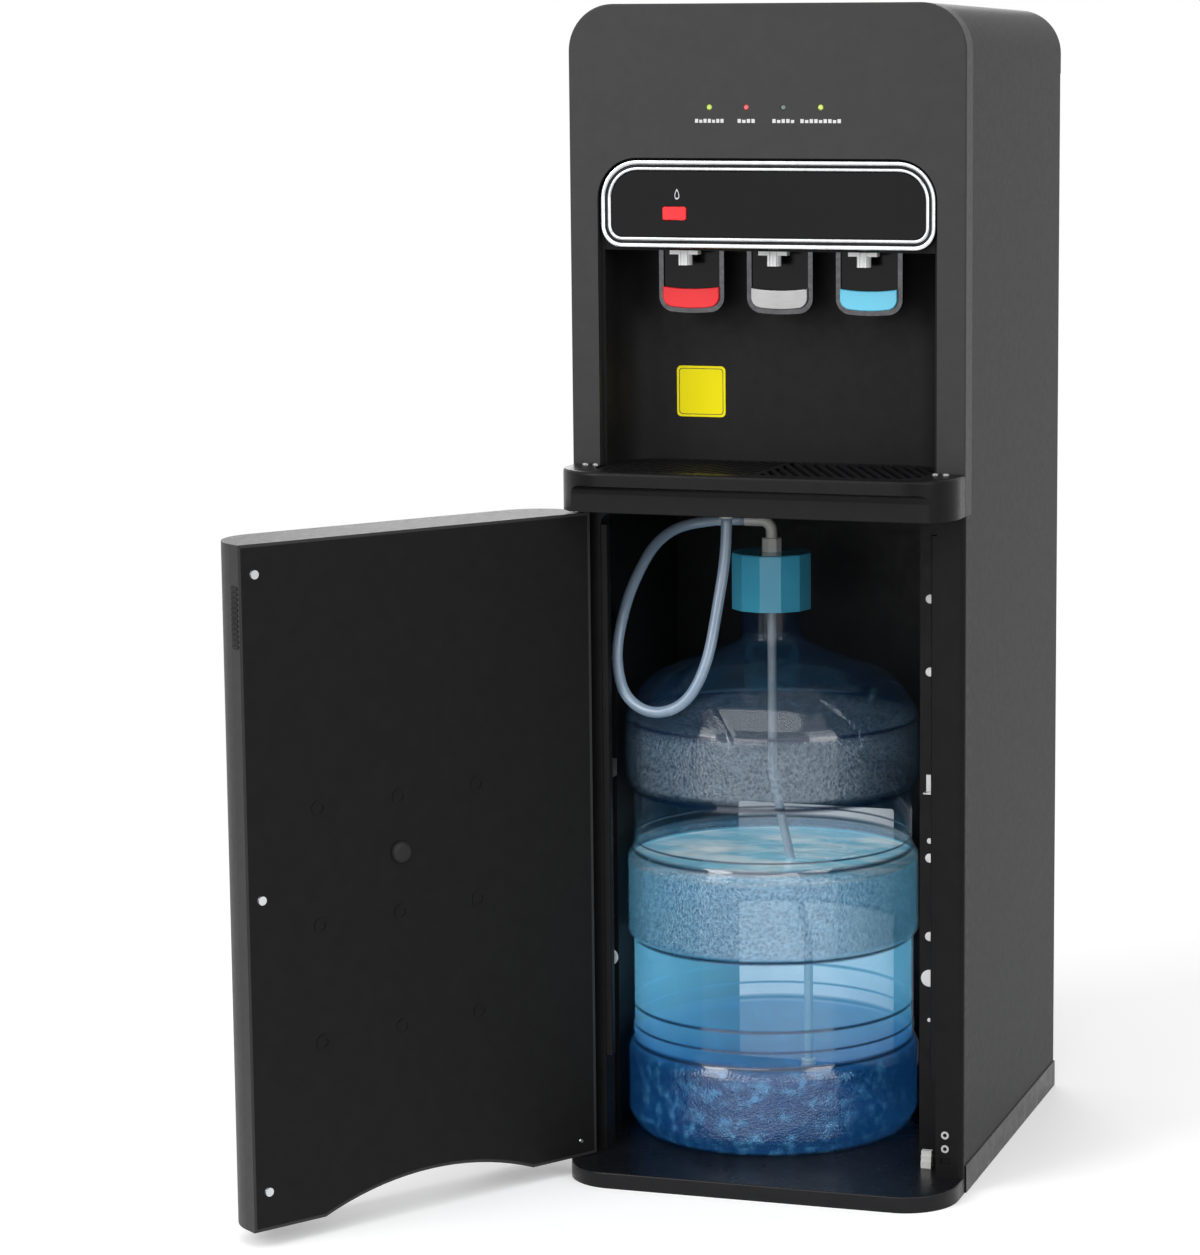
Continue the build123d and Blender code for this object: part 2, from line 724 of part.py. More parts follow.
with BuildPart() as compartment_back:
    with BuildSketch(Plane.XY.offset(base_height)):
        with BuildLine():
            Polyline(
                (-panel_inner_x, partition_y),
                (step_x - sheet, partition_y),
                (step_x - sheet, step_y),
                (panel_inner_x, step_y),
                (panel_inner_x, step_y + sheet),
                (step_x, step_y + sheet),
                (step_x, partition_y + sheet),
                (-panel_inner_x, partition_y + sheet),
                close=True,
            )
        make_face()
    extrude(amount=ceiling_height - base_height)
keep(compartment_back.part, "compartment_back")

fitting_x = -52.0
fitting_depth = 52.0
fitting_y = front_y + fitting_depth
fitting_radius = 7.5
fitting_flange = 11.0
fitting_flange_thickness = 2.0
fitting_drop = 7.0
fitting_foot = ceiling_height - fitting_drop
fitting_bore = 3.2

with BuildPart() as compartment_ceiling:
    with BuildSketch(Plane.XY.offset(ceiling_height)):
        with Locations((0, (panel_front_y + rear_panel_y) / 2)):
            Rectangle(2 * panel_inner_x, rear_panel_y - panel_front_y - 2 * sheet)
        with Locations((fitting_x, fitting_y)):
            Circle(fitting_radius, mode=Mode.SUBTRACT)
    extrude(amount=ceiling_thickness)
    with BuildSketch(Plane.XY.offset(ceiling_height)):
        with Locations((0, panel_front_y)):
            with GridLocations(body_width - flange_width, 1, 2, 1):
                Rectangle(flange_width, 4 * sheet)
    extrude(amount=ceiling_thickness, mode=Mode.SUBTRACT)
keep(compartment_ceiling.part, "compartment_ceiling")

# ---- plug rails, brackets, cover and magnetic catch ----
rail_y = front_y + 54.0
rail_left_edge = -155.0
rail_right_edge = 120.0
rail_fold = 12.0
plug_left_x = -163.0
plug_right_x = 129.0
plug_stand = 1.4
plug_places = (
    # height, radius
    (505.0, 4.0),
    (442.0, 4.0),
    (295.0, 2.5),
    (280.0, 4.0),
    (211.0, 4.0),
    (174.0, 7.5),
    (137.0, 1.8),
)
bracket_size = 15.0
bracket_hole = 2.6
bracket_bottom = 338.0
bracket_leg = 12.0
bracket_inset = 6.0         # of the right one, from its rail's inner edge
cover_width = 150.0
cover_bottom = 30.0
cover_top = 275.0
cover_fold = 1.2
catch_x = 134.0
catch_y = front_y + 27.0
catch_size = 9.0
catch_steps = ((0.0, 9.0, 6.0), (6.0, 7.0, 5.0), (11.0, 5.0, 4.0))

with BuildPart() as rails:
    for edge_x, side in ((rail_left_edge, -1), (rail_right_edge, 1)):
        wall_x = side * panel_inner_x
        face_half = abs(wall_x - edge_x) / 2
        with BuildSketch(Plane.XY.offset(base_height)):
            with Locations(((wall_x + edge_x) / 2, rail_y)):
                Rectangle(2 * face_half, sheet, align=(Align.CENTER, Align.MIN))
            with Locations((wall_x - side * sheet / 2, rail_y)):
                Rectangle(sheet, rail_fold, align=(Align.CENTER, Align.MIN))
        extrude(amount=ceiling_height - base_height)
keep(rails.part, "rails")

with BuildPart() as rail_plugs:
    for plug_x in (plug_left_x, plug_right_x):
        for plug_height, plug_radius in plug_places:
            with Locations((plug_x, rail_y, plug_height)):
                Cylinder(plug_radius, plug_stand, rotation=(90, 0, 0), align=on_top)
    chamfer(rail_plugs.faces().group_by(Axis.Y)[0].edges(), plug_stand / 2)
keep(rail_plugs.part, "rail_plugs")

with BuildPart() as corner_brackets:
    for edge_x, side in ((rail_left_edge, -1), (rail_right_edge + bracket_inset, 1)):
        bracket_x = edge_x + side * bracket_size / 2
        with BuildSketch(upright(rail_y)):
            with Locations((bracket_x, bracket_bottom + bracket_size / 2)):
                Rectangle(bracket_size, bracket_size)
                Circle(bracket_hole, mode=Mode.SUBTRACT)
        extrude(amount=sheet)
        with BuildSketch(Plane.XY.offset(bracket_bottom)):
            with Locations((bracket_x, rail_y)):
                Rectangle(bracket_size, bracket_leg, align=(Align.CENTER, Align.MAX))
        extrude(amount=sheet)
keep(corner_brackets.part, "corner_brackets")

with BuildPart() as service_cover:
    with BuildSketch(upright(partition_y - cover_fold)):
        with Locations((bottle_x, (cover_bottom + cover_top) / 2)):
            RectangleRounded(cover_width, cover_top - cover_bottom, 3)
    extrude(amount=-cover_fold)
keep(service_cover.part, "service_cover")

with BuildPart() as magnet_catch:
    for step_height, step_width, step_tall in catch_steps:
        with Locations((catch_x, catch_y, base_height + step_height)):
            Box(catch_size, step_width, step_tall, align=on_top)
keep(magnet_catch.part, "magnet_catch")

# ================= door, modelled where it stands open =================
open_angle = 124.0
door_gap = 3.0              # between the closed door and the door frame
door_side_gap = 1.0
door_bottom = 15.0
door_head_gap = 5.0
door_top = apron_bottom - door_head_gap
door_half = half_width - door_side_gap
door_inner = hinge_reach - door_gap     # depths are counted from the hinge axis, towards the cabinet
door_outer = hinge_reach - bulge
liner_thickness = 3.0
door_edge = 1.5
arch_half = 104.0
arch_rise = 20.0
arch_radius = (arch_half**2 + arch_rise**2) / (2 * arch_rise)
arch_middle = door_bottom + arch_rise - arch_radius
boss_radius = 6.0
boss_height = 8.0
pin_reach = 8.0             # into the door

along_x = cos(radians(-open_angle))
along_y = sin(radians(-open_angle))


def door_origin(depth, height):
    """The point on the door's middle line at a depth from the hinge axis."""
    return (
        hinge_x - hinge_x * along_x - depth * along_y,
        hinge_y - hinge_x * along_y + depth * along_x,
        height,
    )


def door_level(height):
    """A level plane in the door's own directions: X along the door, Y towards the cabinet."""
    return Plane(origin=door_origin(0, height), x_dir=(along_x, along_y, 0), z_dir=(0, 0, 1))


def door_upright(depth):
    """An upright plane in the door: X along the door and Z up."""
    return Plane(origin=door_origin(depth, 0), x_dir=(along_x, along_y, 0), z_dir=(along_y, -along_x, 0))


with BuildPart(mode=Mode.PRIVATE) as door_cavity:
    with BuildSketch(door_level(door_bottom + plastic_wall)):
        rounded(door_half - plastic_wall, door_outer + plastic_wall, door_inner, bulge_corner - plastic_wall)
    extrude(amount=door_top - door_bottom - 2 * plastic_wall)
    with BuildSketch(door_upright(door_outer - door_edge)):
        with Locations((0, arch_middle)):
            Circle(arch_radius + plastic_wall)
    extrude(amount=-(door_inner - door_outer + 2 * door_edge), mode=Mode.SUBTRACT)

grip_bottom = 494.0
grip_height = 51.0
grip_width = 9.0
grip_depth = 1.2
grip_rib = 0.7
grip_ribs = 12
grip_middle = (door_inner + door_outer + bulge_corner) / 2

with BuildPart() as door_shell:
    with BuildSketch(door_level(door_bottom)):
        rounded(door_half, door_outer, door_inner, bulge_corner)
    extrude(amount=door_top - door_bottom)
    add(door_cavity.part, mode=Mode.SUBTRACT)
    with BuildSketch(door_upright(door_outer - door_edge)):
        with Locations((0, arch_middle)):
            Circle(arch_radius)
    extrude(amount=-(door_inner - door_outer + 2 * door_edge), mode=Mode.SUBTRACT)
    for boss_bottom, bore_bottom in (
        (door_bottom + plastic_wall, door_bottom),
        (door_top - plastic_wall - boss_height, door_top - plastic_wall - boss_height),
    ):
        with BuildSketch(door_level(boss_bottom)):
            with Locations((hinge_x, 0)):
                Circle(boss_radius)
        extrude(amount=boss_height)
        with BuildSketch(door_level(bore_bottom)):
            with Locations((hinge_x, 0)):
                Circle(hinge_pin_radius + pin_play)
        extrude(amount=boss_height + plastic_wall, mode=Mode.SUBTRACT)
    with BuildSketch(door_level(grip_bottom)):
        with Locations((door_half, grip_middle)):
            Rectangle(grip_depth, grip_width, align=(Align.MAX, Align.CENTER))
    extrude(amount=grip_height, mode=Mode.SUBTRACT)
keep(door_shell.part, "door_shell")

ring_pitch_x = 77.2
ring_pitch_z = 97.6
ring_x = 25.3
ring_z = 260.0
ring_radius = 6.5
ring_bore = 4.2
ring_stand = 0.6

with BuildPart() as door_liner:
    with BuildSketch(door_level(door_bottom + plastic_wall)):
        with Locations((0, door_inner)):
            Rectangle(2 * (door_half - plastic_wall), liner_thickness, align=(Align.CENTER, Align.MAX))
    extrude(amount=door_top - door_bottom - 2 * plastic_wall)
    with BuildSketch(door_upright(door_outer - door_edge)):
        with Locations((0, arch_middle)):
            Circle(arch_radius + plastic_wall)
    extrude(amount=-(door_inner - door_outer + 2 * door_edge), mode=Mode.SUBTRACT)
    with BuildSketch(door_upright(door_inner)):
        with Locations((ring_x, ring_z)):
            with GridLocations(ring_pitch_x, ring_pitch_z, 3, 3):
                Circle(ring_radius)
                Circle(ring_bore, mode=Mode.SUBTRACT)
    extrude(amount=-ring_stand)
keep(door_liner.part, "door_liner")

with BuildPart() as door_grip:
    with BuildSketch(door_level(grip_bottom)):
        with Locations((door_half, grip_middle)):
            Rectangle(grip_depth, grip_width, align=(Align.MAX, Align.CENTER))
    extrude(amount=grip_height)
    rib_pitch = grip_height / grip_ribs
    for i in range(grip_ribs):
        with BuildSketch(door_level(grip_bottom + (i + 0.25) * rib_pitch)):
            with Locations((door_half, grip_middle)):
                Rectangle(grip_rib, grip_width, align=(Align.MIN, Align.CENTER))
        extrude(amount=rib_pitch / 2)
keep(door_grip.part, "door_grip")

liner_screw_x = 157.0
liner_screw_heights = (553.5, 289.0, 47.0)
liner_screw_radius = 4.2
liner_screw_stand = 1.2
small_pin_x = -155.0
small_pin_height = 28.6
small_pin_radius = 2.0
bumper_x = 24.5
bumper_height = 310.5
bumper_radius = 9.0
bumper_stand = 5.0
bumper_round = 3.5
head_taper = 25.0

with BuildPart() as door_screws:
    with BuildSketch(door_upright(door_inner)):
        with Locations(*[(liner_screw_x, height) for height in liner_screw_heights]):
            Circle(liner_screw_radius)
        with Locations((small_pin_x, small_pin_height)):
            Circle(small_pin_radius)
    extrude(amount=-liner_screw_stand, taper=head_taper)
keep(door_screws.part, "door_screws")

with BuildPart() as door_bumper:
    with BuildSketch(door_upright(door_inner)):
        with Locations((bumper_x, bumper_height)):
            Circle(bumper_radius)
    extrude(amount=-bumper_stand)
    bumper_rims = door_bumper.edges().filter_by(GeomType.CIRCLE)
    fillet(bumper_rims.sort_by_distance(door_origin(door_inner + 2 * bumper_radius, bumper_height))[0], bumper_round)
keep(door_bumper.part, "door_bumper")

with BuildPart() as hinge_pins:
    for pin_bottom, pin_top in (
        (base_height - hinge_pin_seat, door_bottom + pin_reach),
        (door_top - pin_reach, apron_bottom + hinge_pin_seat),
    ):
        with Locations((hinge_x, hinge_y, pin_bottom)):
            Cylinder(hinge_pin_radius, pin_top - pin_bottom, align=on_top)
keep(hinge_pins.part, "hinge_pins")

# ================= bottle with its cap and probe =================
bottle_wall = 1.6
neck_radius = 26.5
neck_clearance = 82.0       # under the compartment's ceiling
neck_top = ceiling_height - neck_clearance
neck_length = 41.7
waist_radius = 124.0
belly_radius = 130.5
band_radius = 129.5
push_up = 16.0
water_height = 257.0
bottle_bottom = base_height + seat_gap
neck_foot = neck_top - neck_length - bottle_bottom
bottle_side = (
    # radius, height above the bottle's underside, fillet radius
    (90.0, 9.0, 30.0),
    (104.0, 0.0, 6.0),
    (123.0, 0.0, 8.0),
    (belly_radius, 13.0, 10.0),
    (belly_radius, 60.0, 0.0),
    (belly_radius - 3.0, 65.0, 0.0),
    (belly_radius, 70.0, 0.0),
    (belly_radius, 152.0, 0.0),
    (band_radius, 158.0, 0.0),
    (band_radius, 228.0, 0.0),
    (waist_radius, 236.0, 5.0),
    (waist_radius, 280.0, 5.0),
    (bottle_radius, 294.0, 6.0),
    (bottle_radius, neck_foot - 66.0, 26.0),
    (112.0, neck_foot - 34.0, 40.0),
    (58.0, neck_foot - 14.0, 24.0),
    (neck_radius, neck_foot, 8.0),
)
bottle_axis = Axis((bottle_x, bottle_y, 0), (0, 0, 1))
bottle_plane = Plane(origin=(bottle_x, bottle_y, 0), x_dir=(1, 0, 0), z_dir=(0, -1, 0))


def bottle_outline():
    """The bottle's outline on both sides of its axis."""
    corners = [(radius, bottle_bottom + height) for radius, height, _ in bottle_side]
    with BuildLine(mode=Mode.PRIVATE) as outline:
        FilletPolyline(
            (0, bottle_bottom + push_up),
            *corners,
            (neck_radius, neck_top),
            (0, neck_top),
            radius=[corner[2] for corner in bottle_side] + [1.0],
        )
        mirror(about=Plane.YZ)
    return make_face(outline.edges(), mode=Mode.PRIVATE)


with BuildPart() as bottle:
    with BuildSketch(bottle_plane):
        outer_face = bottle_outline()
        add(outer_face)
        add(offset(outer_face, amount=-bottle_wall, mode=Mode.PRIVATE), mode=Mode.SUBTRACT)
        with Locations((0, neck_top)):
            Rectangle(2 * (neck_radius - bottle_wall), 4 * bottle_wall, mode=Mode.SUBTRACT)
        with Locations((0, 0)):
            Rectangle(bottle_radius, neck_top + bottle_wall, align=(Align.MIN, Align.MIN), mode=Mode.INTERSECT)
    revolve(axis=bottle_axis)
keep(bottle.part, "bottle")

cap_radius = 36.0
cap_sides = 12
cap_skirt = 14.0            # below the neck's rim
cap_crown = 36.0            # above it
cap_bottom = neck_top - cap_skirt
cap_top = neck_top + cap_crown
cap_wall = 2.5
cap_neck_play = 0.3
tube_radius = 4.0
tube_bore = 2.6
foot_offset = 33.0
tube_bend_top = 330.0
tube_bend_low = 180.0
tube_foot = 72.0
tube_bend = 60.0
water_play = 0.15
strainer_radius = 6.5
strainer_height = 12.0

with BuildPart() as bottle_cap:
    with BuildSketch(Plane.XY.offset(cap_bottom)):
        with Locations((bottle_x, bottle_y)):
            RegularPolygon(cap_radius, cap_sides)
    extrude(amount=cap_top - cap_bottom)
    fillet(bottle_cap.faces().sort_by(Axis.Z)[-1].edges(), cap_wall / 2)
    with BuildSketch(Plane.XY.offset(cap_bottom + cap_wall)):
        with Locations((bottle_x, bottle_y)):
            RegularPolygon(cap_radius - cap_wall, cap_sides)
    extrude(amount=cap_top - cap_bottom - 2 * cap_wall, mode=Mode.SUBTRACT)
    with Locations((bottle_x, bottle_y, cap_bottom)):
        Cylinder(neck_radius + cap_neck_play, cap_wall, align=on_top, mode=Mode.SUBTRACT)
    with Locations((bottle_x, bottle_y, neck_top)):
        Cylinder(cap_radius - cap_wall, cap_wall, align=on_top)
        Cylinder(tube_radius + pin_play, cap_top - neck_top, align=on_top, mode=Mode.SUBTRACT)
keep(bottle_cap.part, "bottle_cap")


def probe_path():
    """The probe's line from the cap down to its foot."""
    with BuildLine(mode=Mode.PRIVATE) as path:
        FilletPolyline(
            (bottle_x, bottle_y, cap_top),
            (bottle_x, bottle_y, tube_bend_top),
            (bottle_x + foot_offset, bottle_y, tube_bend_low),
            (bottle_x + foot_offset, bottle_y, tube_foot),
            radius=tube_bend,
        )
    return path.wires()[0]


probe_line = probe_path()

with BuildPart() as dip_tube:
    with BuildSketch(Plane.XY.offset(cap_top)):
        with Locations((bottle_x, bottle_y)):
            Circle(tube_radius)
            Circle(tube_bore, mode=Mode.SUBTRACT)
    sweep(path=probe_line)
keep(dip_tube.part, "dip_tube")

strainer_ribs = 4
with BuildPart() as strainer:
    with Locations((bottle_x + foot_offset, bottle_y, tube_foot - strainer_height)):
        Cylinder(strainer_radius - rib_size, strainer_height, align=on_top)
    rib_step = strainer_height / strainer_ribs
    for i in range(strainer_ribs):
        with Locations((bottle_x + foot_offset, bottle_y, tube_foot - (i + 0.5) * rib_step)):
            Cylinder(strainer_radius, rib_step / 2)
keep(strainer.part, "strainer")

with BuildPart(mode=Mode.PRIVATE) as probe_space:
    with BuildSketch(Plane.XY.offset(cap_top)):
        with Locations((bottle_x, bottle_y)):
            Circle(tube_radius + water_play)
    sweep(path=probe_line)
    with Locations((bottle_x + foot_offset, bottle_y, tube_foot - strainer_height - water_play)):
        Cylinder(strainer_radius + water_play, strainer_height + 2 * water_play, align=on_top)

with BuildPart() as bottle_water:
    with BuildSketch(bottle_plane):
        add(offset(bottle_outline(), amount=-bottle_wall - water_play, mode=Mode.PRIVATE))
        with Locations((0, 0)):
            Rectangle(bottle_radius, water_height, align=(Align.MIN, Align.MIN), mode=Mode.INTERSECT)
    revolve(axis=bottle_axis)
    add(probe_space.part, mode=Mode.SUBTRACT)
keep(bottle_water.part, "bottle_water")

elbow_radius = 5.0
elbow_bore = 3.2
elbow_rise = 27.0           # of its level arm over the cap
elbow_height = cap_top + elbow_rise
elbow_reach = 24.0
elbow_bend = 9.0
nut_radius = 9.0
nut_sides = 8
nut_height = 12.0

with BuildPart() as elbow:
    with BuildLine():
        FilletPolyline(
            (bottle_x, bottle_y, cap_top),
            (bottle_x, bottle_y, elbow_height),
            (bottle_x - elbow_reach, bottle_y, elbow_height),
            radius=elbow_bend,
        )
    with BuildSketch(Plane.XY.offset(cap_top)):
        with Locations((bottle_x, bottle_y)):
            Circle(elbow_radius)
    sweep()
    with BuildSketch(Plane.XY.offset(cap_top)):
        with Locations((bottle_x, bottle_y)):
            RegularPolygon(nut_radius, nut_sides)
    extrude(amount=nut_height)
    with Locations((bottle_x, bottle_y, cap_top)):
        Cylinder(elbow_bore, nut_height, align=on_top, mode=Mode.SUBTRACT)
keep(elbow.part, "elbow")

# ---- hose: a limp loop from the elbow to the ceiling ----
hose_radius = 4.8
hose_bore = 3.2
hose_points = [
    (bottle_x - elbow_reach, bottle_y, elbow_height),
    (-95, front_y + 135, elbow_height),
    (-128, front_y + 100, elbow_height - 9),
    (-142, front_y + 62, elbow_height - 49),
    (-147, front_y + 38, elbow_height - 91),
    (-145, front_y + 28, elbow_height - 119),
    (-134, front_y + 20, elbow_height - 145),
    (-107, front_y + 14, elbow_height - 157),
    (-77, front_y + 14, elbow_height - 146),
    (-62, front_y + 27, elbow_height - 113),
    (-57, front_y + 42, elbow_height - 63),
    (fitting_x, fitting_y, fitting_foot - 28),
    (fitting_x, fitting_y, fitting_foot),
]


def bend_radii(points):
    """Each corner's radius: 0.45 of its shorter run over the tangent of half the turn."""
    radii = []
    for before, here, after in zip(points, points[1:], points[2:]):
        into = Vector(*here) - Vector(*before)
        out = Vector(*after) - Vector(*here)
        half_turn = radians(into.get_angle(out)) / 2
        radii.append(0.45 * min(into.length, out.length) / tan(half_turn))
    return radii


hose_radii = bend_radii(hose_points)
print("hose radii", [round(radius, 1) for radius in hose_radii])

with BuildPart() as hose:
    with BuildLine():
        hose_line = FilletPolyline(*hose_points, radius=hose_radii)
    with BuildSketch(Plane(origin=hose_points[0], x_dir=(0, 1, 0), z_dir=(-1, 0, 0))):
        Circle(hose_radius)
        Circle(hose_bore, mode=Mode.SUBTRACT)
    sweep()
keep(hose.part, "hose")
hose_section = pi * (hose_radius**2 - hose_bore**2)
print("hose volume over section times length", round(hose.part.volume / (hose_section * hose_line.length), 4))

# ================= works behind the panels =================
fitting_sleeve = 6.0
fitting_nut = 13.0
fitting_nut_height = 3.0

with BuildPart() as inlet_fitting:
    with Locations((fitting_x, fitting_y, fitting_foot)):
        Cylinder(fitting_sleeve, fitting_drop, align=on_top)
    with Locations((fitting_x, fitting_y, ceiling_height - fitting_flange_thickness)):
        Cylinder(fitting_flange, fitting_flange_thickness, align=on_top)
    with Locations((fitting_x, fitting_y, ceiling_height)):
        Cylinder(fitting_radius - pin_play, ceiling_thickness + fitting_nut_height, align=on_top)
    with BuildSketch(Plane.XY.offset(deck_height)):
        with Locations((fitting_x, fitting_y)):
            RegularPolygon(fitting_nut, 6)
    extrude(amount=fitting_nut_height)
    with Locations((fitting_x, fitting_y, fitting_foot)):
        Cylinder(fitting_bore, deck_height, align=on_top, mode=Mode.SUBTRACT)
keep(inlet_fitting.part, "inlet_fitting")

pump_x = -75.0
pump_depth = 130.0
pump_y = front_y + pump_depth
pump_foot = 3.0
pump_side = 60.0
pump_head_height = 22.0
pump_motor_radius = 19.0
pump_motor_height = 46.0
pump_port_radius = 4.5
pump_port_reach = 12.0
pump_port_spacing = 24.0

with BuildPart() as pump:
    with BuildSketch(Plane.XY.offset(deck_height)):
        with Locations((pump_x, pump_y)):
            RectangleRounded(pump_side, pump_side, 2 * pump_foot)
    extrude(amount=pump_foot)
    with Locations((pump_x, pump_y, deck_height + pump_foot)):
        Box(0.8 * pump_side, 0.8 * pump_side, pump_head_height, align=on_top)
    with Locations((pump_x, pump_y, deck_height + pump_foot + pump_head_height)):
        Cylinder(pump_motor_radius, pump_motor_height, align=on_top)
    fillet(pump.faces().sort_by(Axis.Z)[-1].edges(), pump_foot)
    with BuildSketch(upright(pump_y - 0.4 * pump_side)):
        with Locations((pump_x, deck_height + pump_foot + pump_head_height / 2)):
            with GridLocations(pump_port_spacing, 1, 2, 1):
                Circle(pump_port_radius)
    extrude(amount=pump_port_reach)
keep(pump.part, "pump")

cold_tank_x = 70.0
cold_tank_depth = 205.0
cold_tank_y = front_y + cold_tank_depth
cold_tank_side = 150.0
cold_tank_height = 190.0
tank_round = 14.0
tank_lid = 12.0
tank_lid_radius = 50.0
tank_port_radius = 5.0

with BuildPart() as cold_tank:
    with BuildSketch(Plane.XY.offset(deck_height)):
        with Locations((cold_tank_x, cold_tank_y)):
            RectangleRounded(cold_tank_side, cold_tank_side, tank_round)
    extrude(amount=cold_tank_height)
    with Locations((cold_tank_x, cold_tank_y, deck_height + cold_tank_height)):
        Cylinder(tank_lid_radius, tank_lid, align=on_top)
        Cylinder(tank_port_radius, 2 * tank_lid, align=on_top)
keep(cold_tank.part, "cold_tank")

hot_tank_x = -95.0
hot_tank_depth = 235.0
hot_tank_y = front_y + hot_tank_depth
hot_tank_radius = 42.0
hot_tank_height = 150.0
hot_tank_dome = 12.0

with BuildPart() as hot_tank:
    with Locations((hot_tank_x, hot_tank_y, deck_height)):
        Cylinder(hot_tank_radius, hot_tank_height, align=on_top)
    fillet(hot_tank.faces().sort_by(Axis.Z)[-1].edges(), hot_tank_dome)
    with Locations((hot_tank_x, hot_tank_y, deck_height + hot_tank_height)):
        Cylinder(tank_port_radius, hot_tank_dome, align=on_top)
keep(hot_tank.part, "hot_tank")

compressor_x = 122.0
compressor_depth = 272.0
compressor_y = front_y + compressor_depth
compressor_radius = 40.0
compressor_foot = 6.0
compressor_height = 120.0
compressor_dome = 22.0
compressor_feet = 66.0
foot_radius = 8.0
plate_thickness = 3.0

with BuildPart() as compressor:
    with Locations((compressor_x, compressor_y, base_height + compressor_foot)):
        Cylinder(compressor_radius, compressor_height, align=on_top)
    fillet(compressor.faces().sort_by(Axis.Z)[-1].edges(), compressor_dome)
    with BuildSketch(Plane.XY.offset(base_height + compressor_foot)):
        with Locations((compressor_x, compressor_y)):
            RectangleRounded(compressor_feet + 2 * foot_radius, compressor_feet + 2 * foot_radius, foot_radius)
    extrude(amount=plate_thickness)
    with Locations((compressor_x, compressor_y, base_height)):
        with GridLocations(compressor_feet, compressor_feet, 2, 2):
            Cylinder(foot_radius - 1, compressor_foot, align=on_top)
keep(compressor.part, "compressor")

# ---- condenser: one folded tube with upright wires, on the back panel ----
coil_half = 140.0
coil_low = 170.0
coil_pitch = 58.0
coil_passes = 7
coil_radius = 2.5
wire_size = 1.6
wire_count = 6
wire_bite = 0.5             # how far the wires sink into the tube
panel_back_y = rear_panel_y + sheet
wire_y = panel_back_y + wire_size / 2
coil_y = panel_back_y + wire_size + coil_radius - wire_bite

with BuildPart() as condenser:
    for i in range(coil_passes):
        with Locations((0, coil_y, coil_low + i * coil_pitch)):
            Cylinder(coil_radius, 2 * coil_half - coil_pitch, rotation=(0, 90, 0))
    for i in range(coil_passes - 1):
        side = 1 if i % 2 == 0 else -1
        bend_x = side * (coil_half - coil_pitch / 2)
        with BuildLine(mode=Mode.PRIVATE) as bend:
            ThreePointArc(
                (bend_x, coil_y, coil_low + i * coil_pitch),
                (bend_x + side * coil_pitch / 2, coil_y, coil_low + (i + 0.5) * coil_pitch),
                (bend_x, coil_y, coil_low + (i + 1) * coil_pitch),
            )
        with BuildSketch(Plane(origin=bend.line @ 0, z_dir=(side, 0, 0))):
            Circle(coil_radius)
        sweep(path=bend.line)
    for i in range(wire_count):
        wire_x = (i - (wire_count - 1) / 2) * (2 * coil_half - coil_pitch) / wire_count
        with Locations((wire_x, wire_y, coil_low - coil_pitch / 2)):
            Box(wire_size, wire_size, coil_passes * coil_pitch, align=on_top)
keep(condenser.part, "condenser")

# ---- rocker switches, power inlet and drain ----
switch_flange = 2.0
switch_rim = 2.0
switch_body_depth = 20.0
switch_side = 1.8
rocker_play = 0.3
rocker_pin_radius = 1.4
rocker_pin_seat = 1.0
rocker_tilt = 8.0
rocker_half = 8.6
rocker_depth = 4.0
rocker_dip = 1.0
rocker_pivot_y = panel_back_y - 1.0
switch_body_width = switch_width - 2 * seat_gap
switch_body_tall = switch_tall - 2 * seat_gap
switch_hollow = switch_body_width - 2 * switch_side
switch_places = ((switch_x, switch_height), (switch_x - switch_spacing, switch_height))

with BuildPart() as switch_housings:
    with BuildSketch(upright(panel_back_y)):
        with Locations(*switch_places):
            RectangleRounded(switch_width + 2 * switch_rim, switch_tall + 2 * switch_rim, switch_rim)
    extrude(amount=-switch_flange)
    with BuildSketch(upright(panel_back_y)):
        with Locations(*switch_places):
            Rectangle(switch_body_width, switch_body_tall)
    extrude(amount=switch_body_depth)
    with BuildSketch(upright(panel_back_y + switch_flange)):
        with Locations(*switch_places):
            Rectangle(switch_hollow, switch_body_tall - 2 * switch_side)
    extrude(amount=switch_flange + switch_body_depth / 2, mode=Mode.SUBTRACT)
    for x, height in switch_places:
        with Locations((x, rocker_pivot_y, height)):
            Cylinder(
                rocker_pin_radius + pin_play,
                switch_hollow + 2 * rocker_pin_seat + 2 * rocker_play,
                rotation=(0, 90, 0),
                mode=Mode.SUBTRACT,
            )
keep(switch_housings.part, "switch_housings")


def make_rocker(x, name):
    """A rocker cap with its pivot pin, tilted to its off side."""
    side_point = (x - switch_hollow / 2 + rocker_play, rocker_pivot_y, switch_height)
    with BuildPart() as rocker:
        with BuildSketch(Plane(origin=side_point, x_dir=(0, 1, 0), z_dir=(1, 0, 0))):
            Polygon(
                (-rocker_depth, -rocker_half),
                (rocker_depth, -rocker_half),
                (rocker_depth - rocker_dip, 0),
                (rocker_depth, rocker_half),
                (-rocker_depth, rocker_half),
                align=None,
            )
        extrude(amount=switch_hollow - 2 * rocker_play)
        with Locations((x, rocker_pivot_y, switch_height)):
            Cylinder(rocker_pin_radius, switch_hollow + 2 * rocker_pin_seat, rotation=(0, 90, 0))
    pivot = Axis((x, rocker_pivot_y, switch_height), (1, 0, 0))
    keep(rocker.part.rotate(pivot, -rocker_tilt), name)


make_rocker(switch_x, "hot_switch")
make_rocker(switch_x - switch_spacing, "cold_switch")

inlet_flange = 3.0
inlet_body_depth = 24.0
inlet_wall = 4.0
inlet_floor = 6.0
blade_wide = 4.0
blade_thick = 2.0
blade_length = 13.0
blade_spread = 7.0
blade_rise = 4.0
inlet_body_width = inlet_width - 2 * inlet_rim - 2 * seat_gap
inlet_body_tall = inlet_tall - 2 * seat_gap

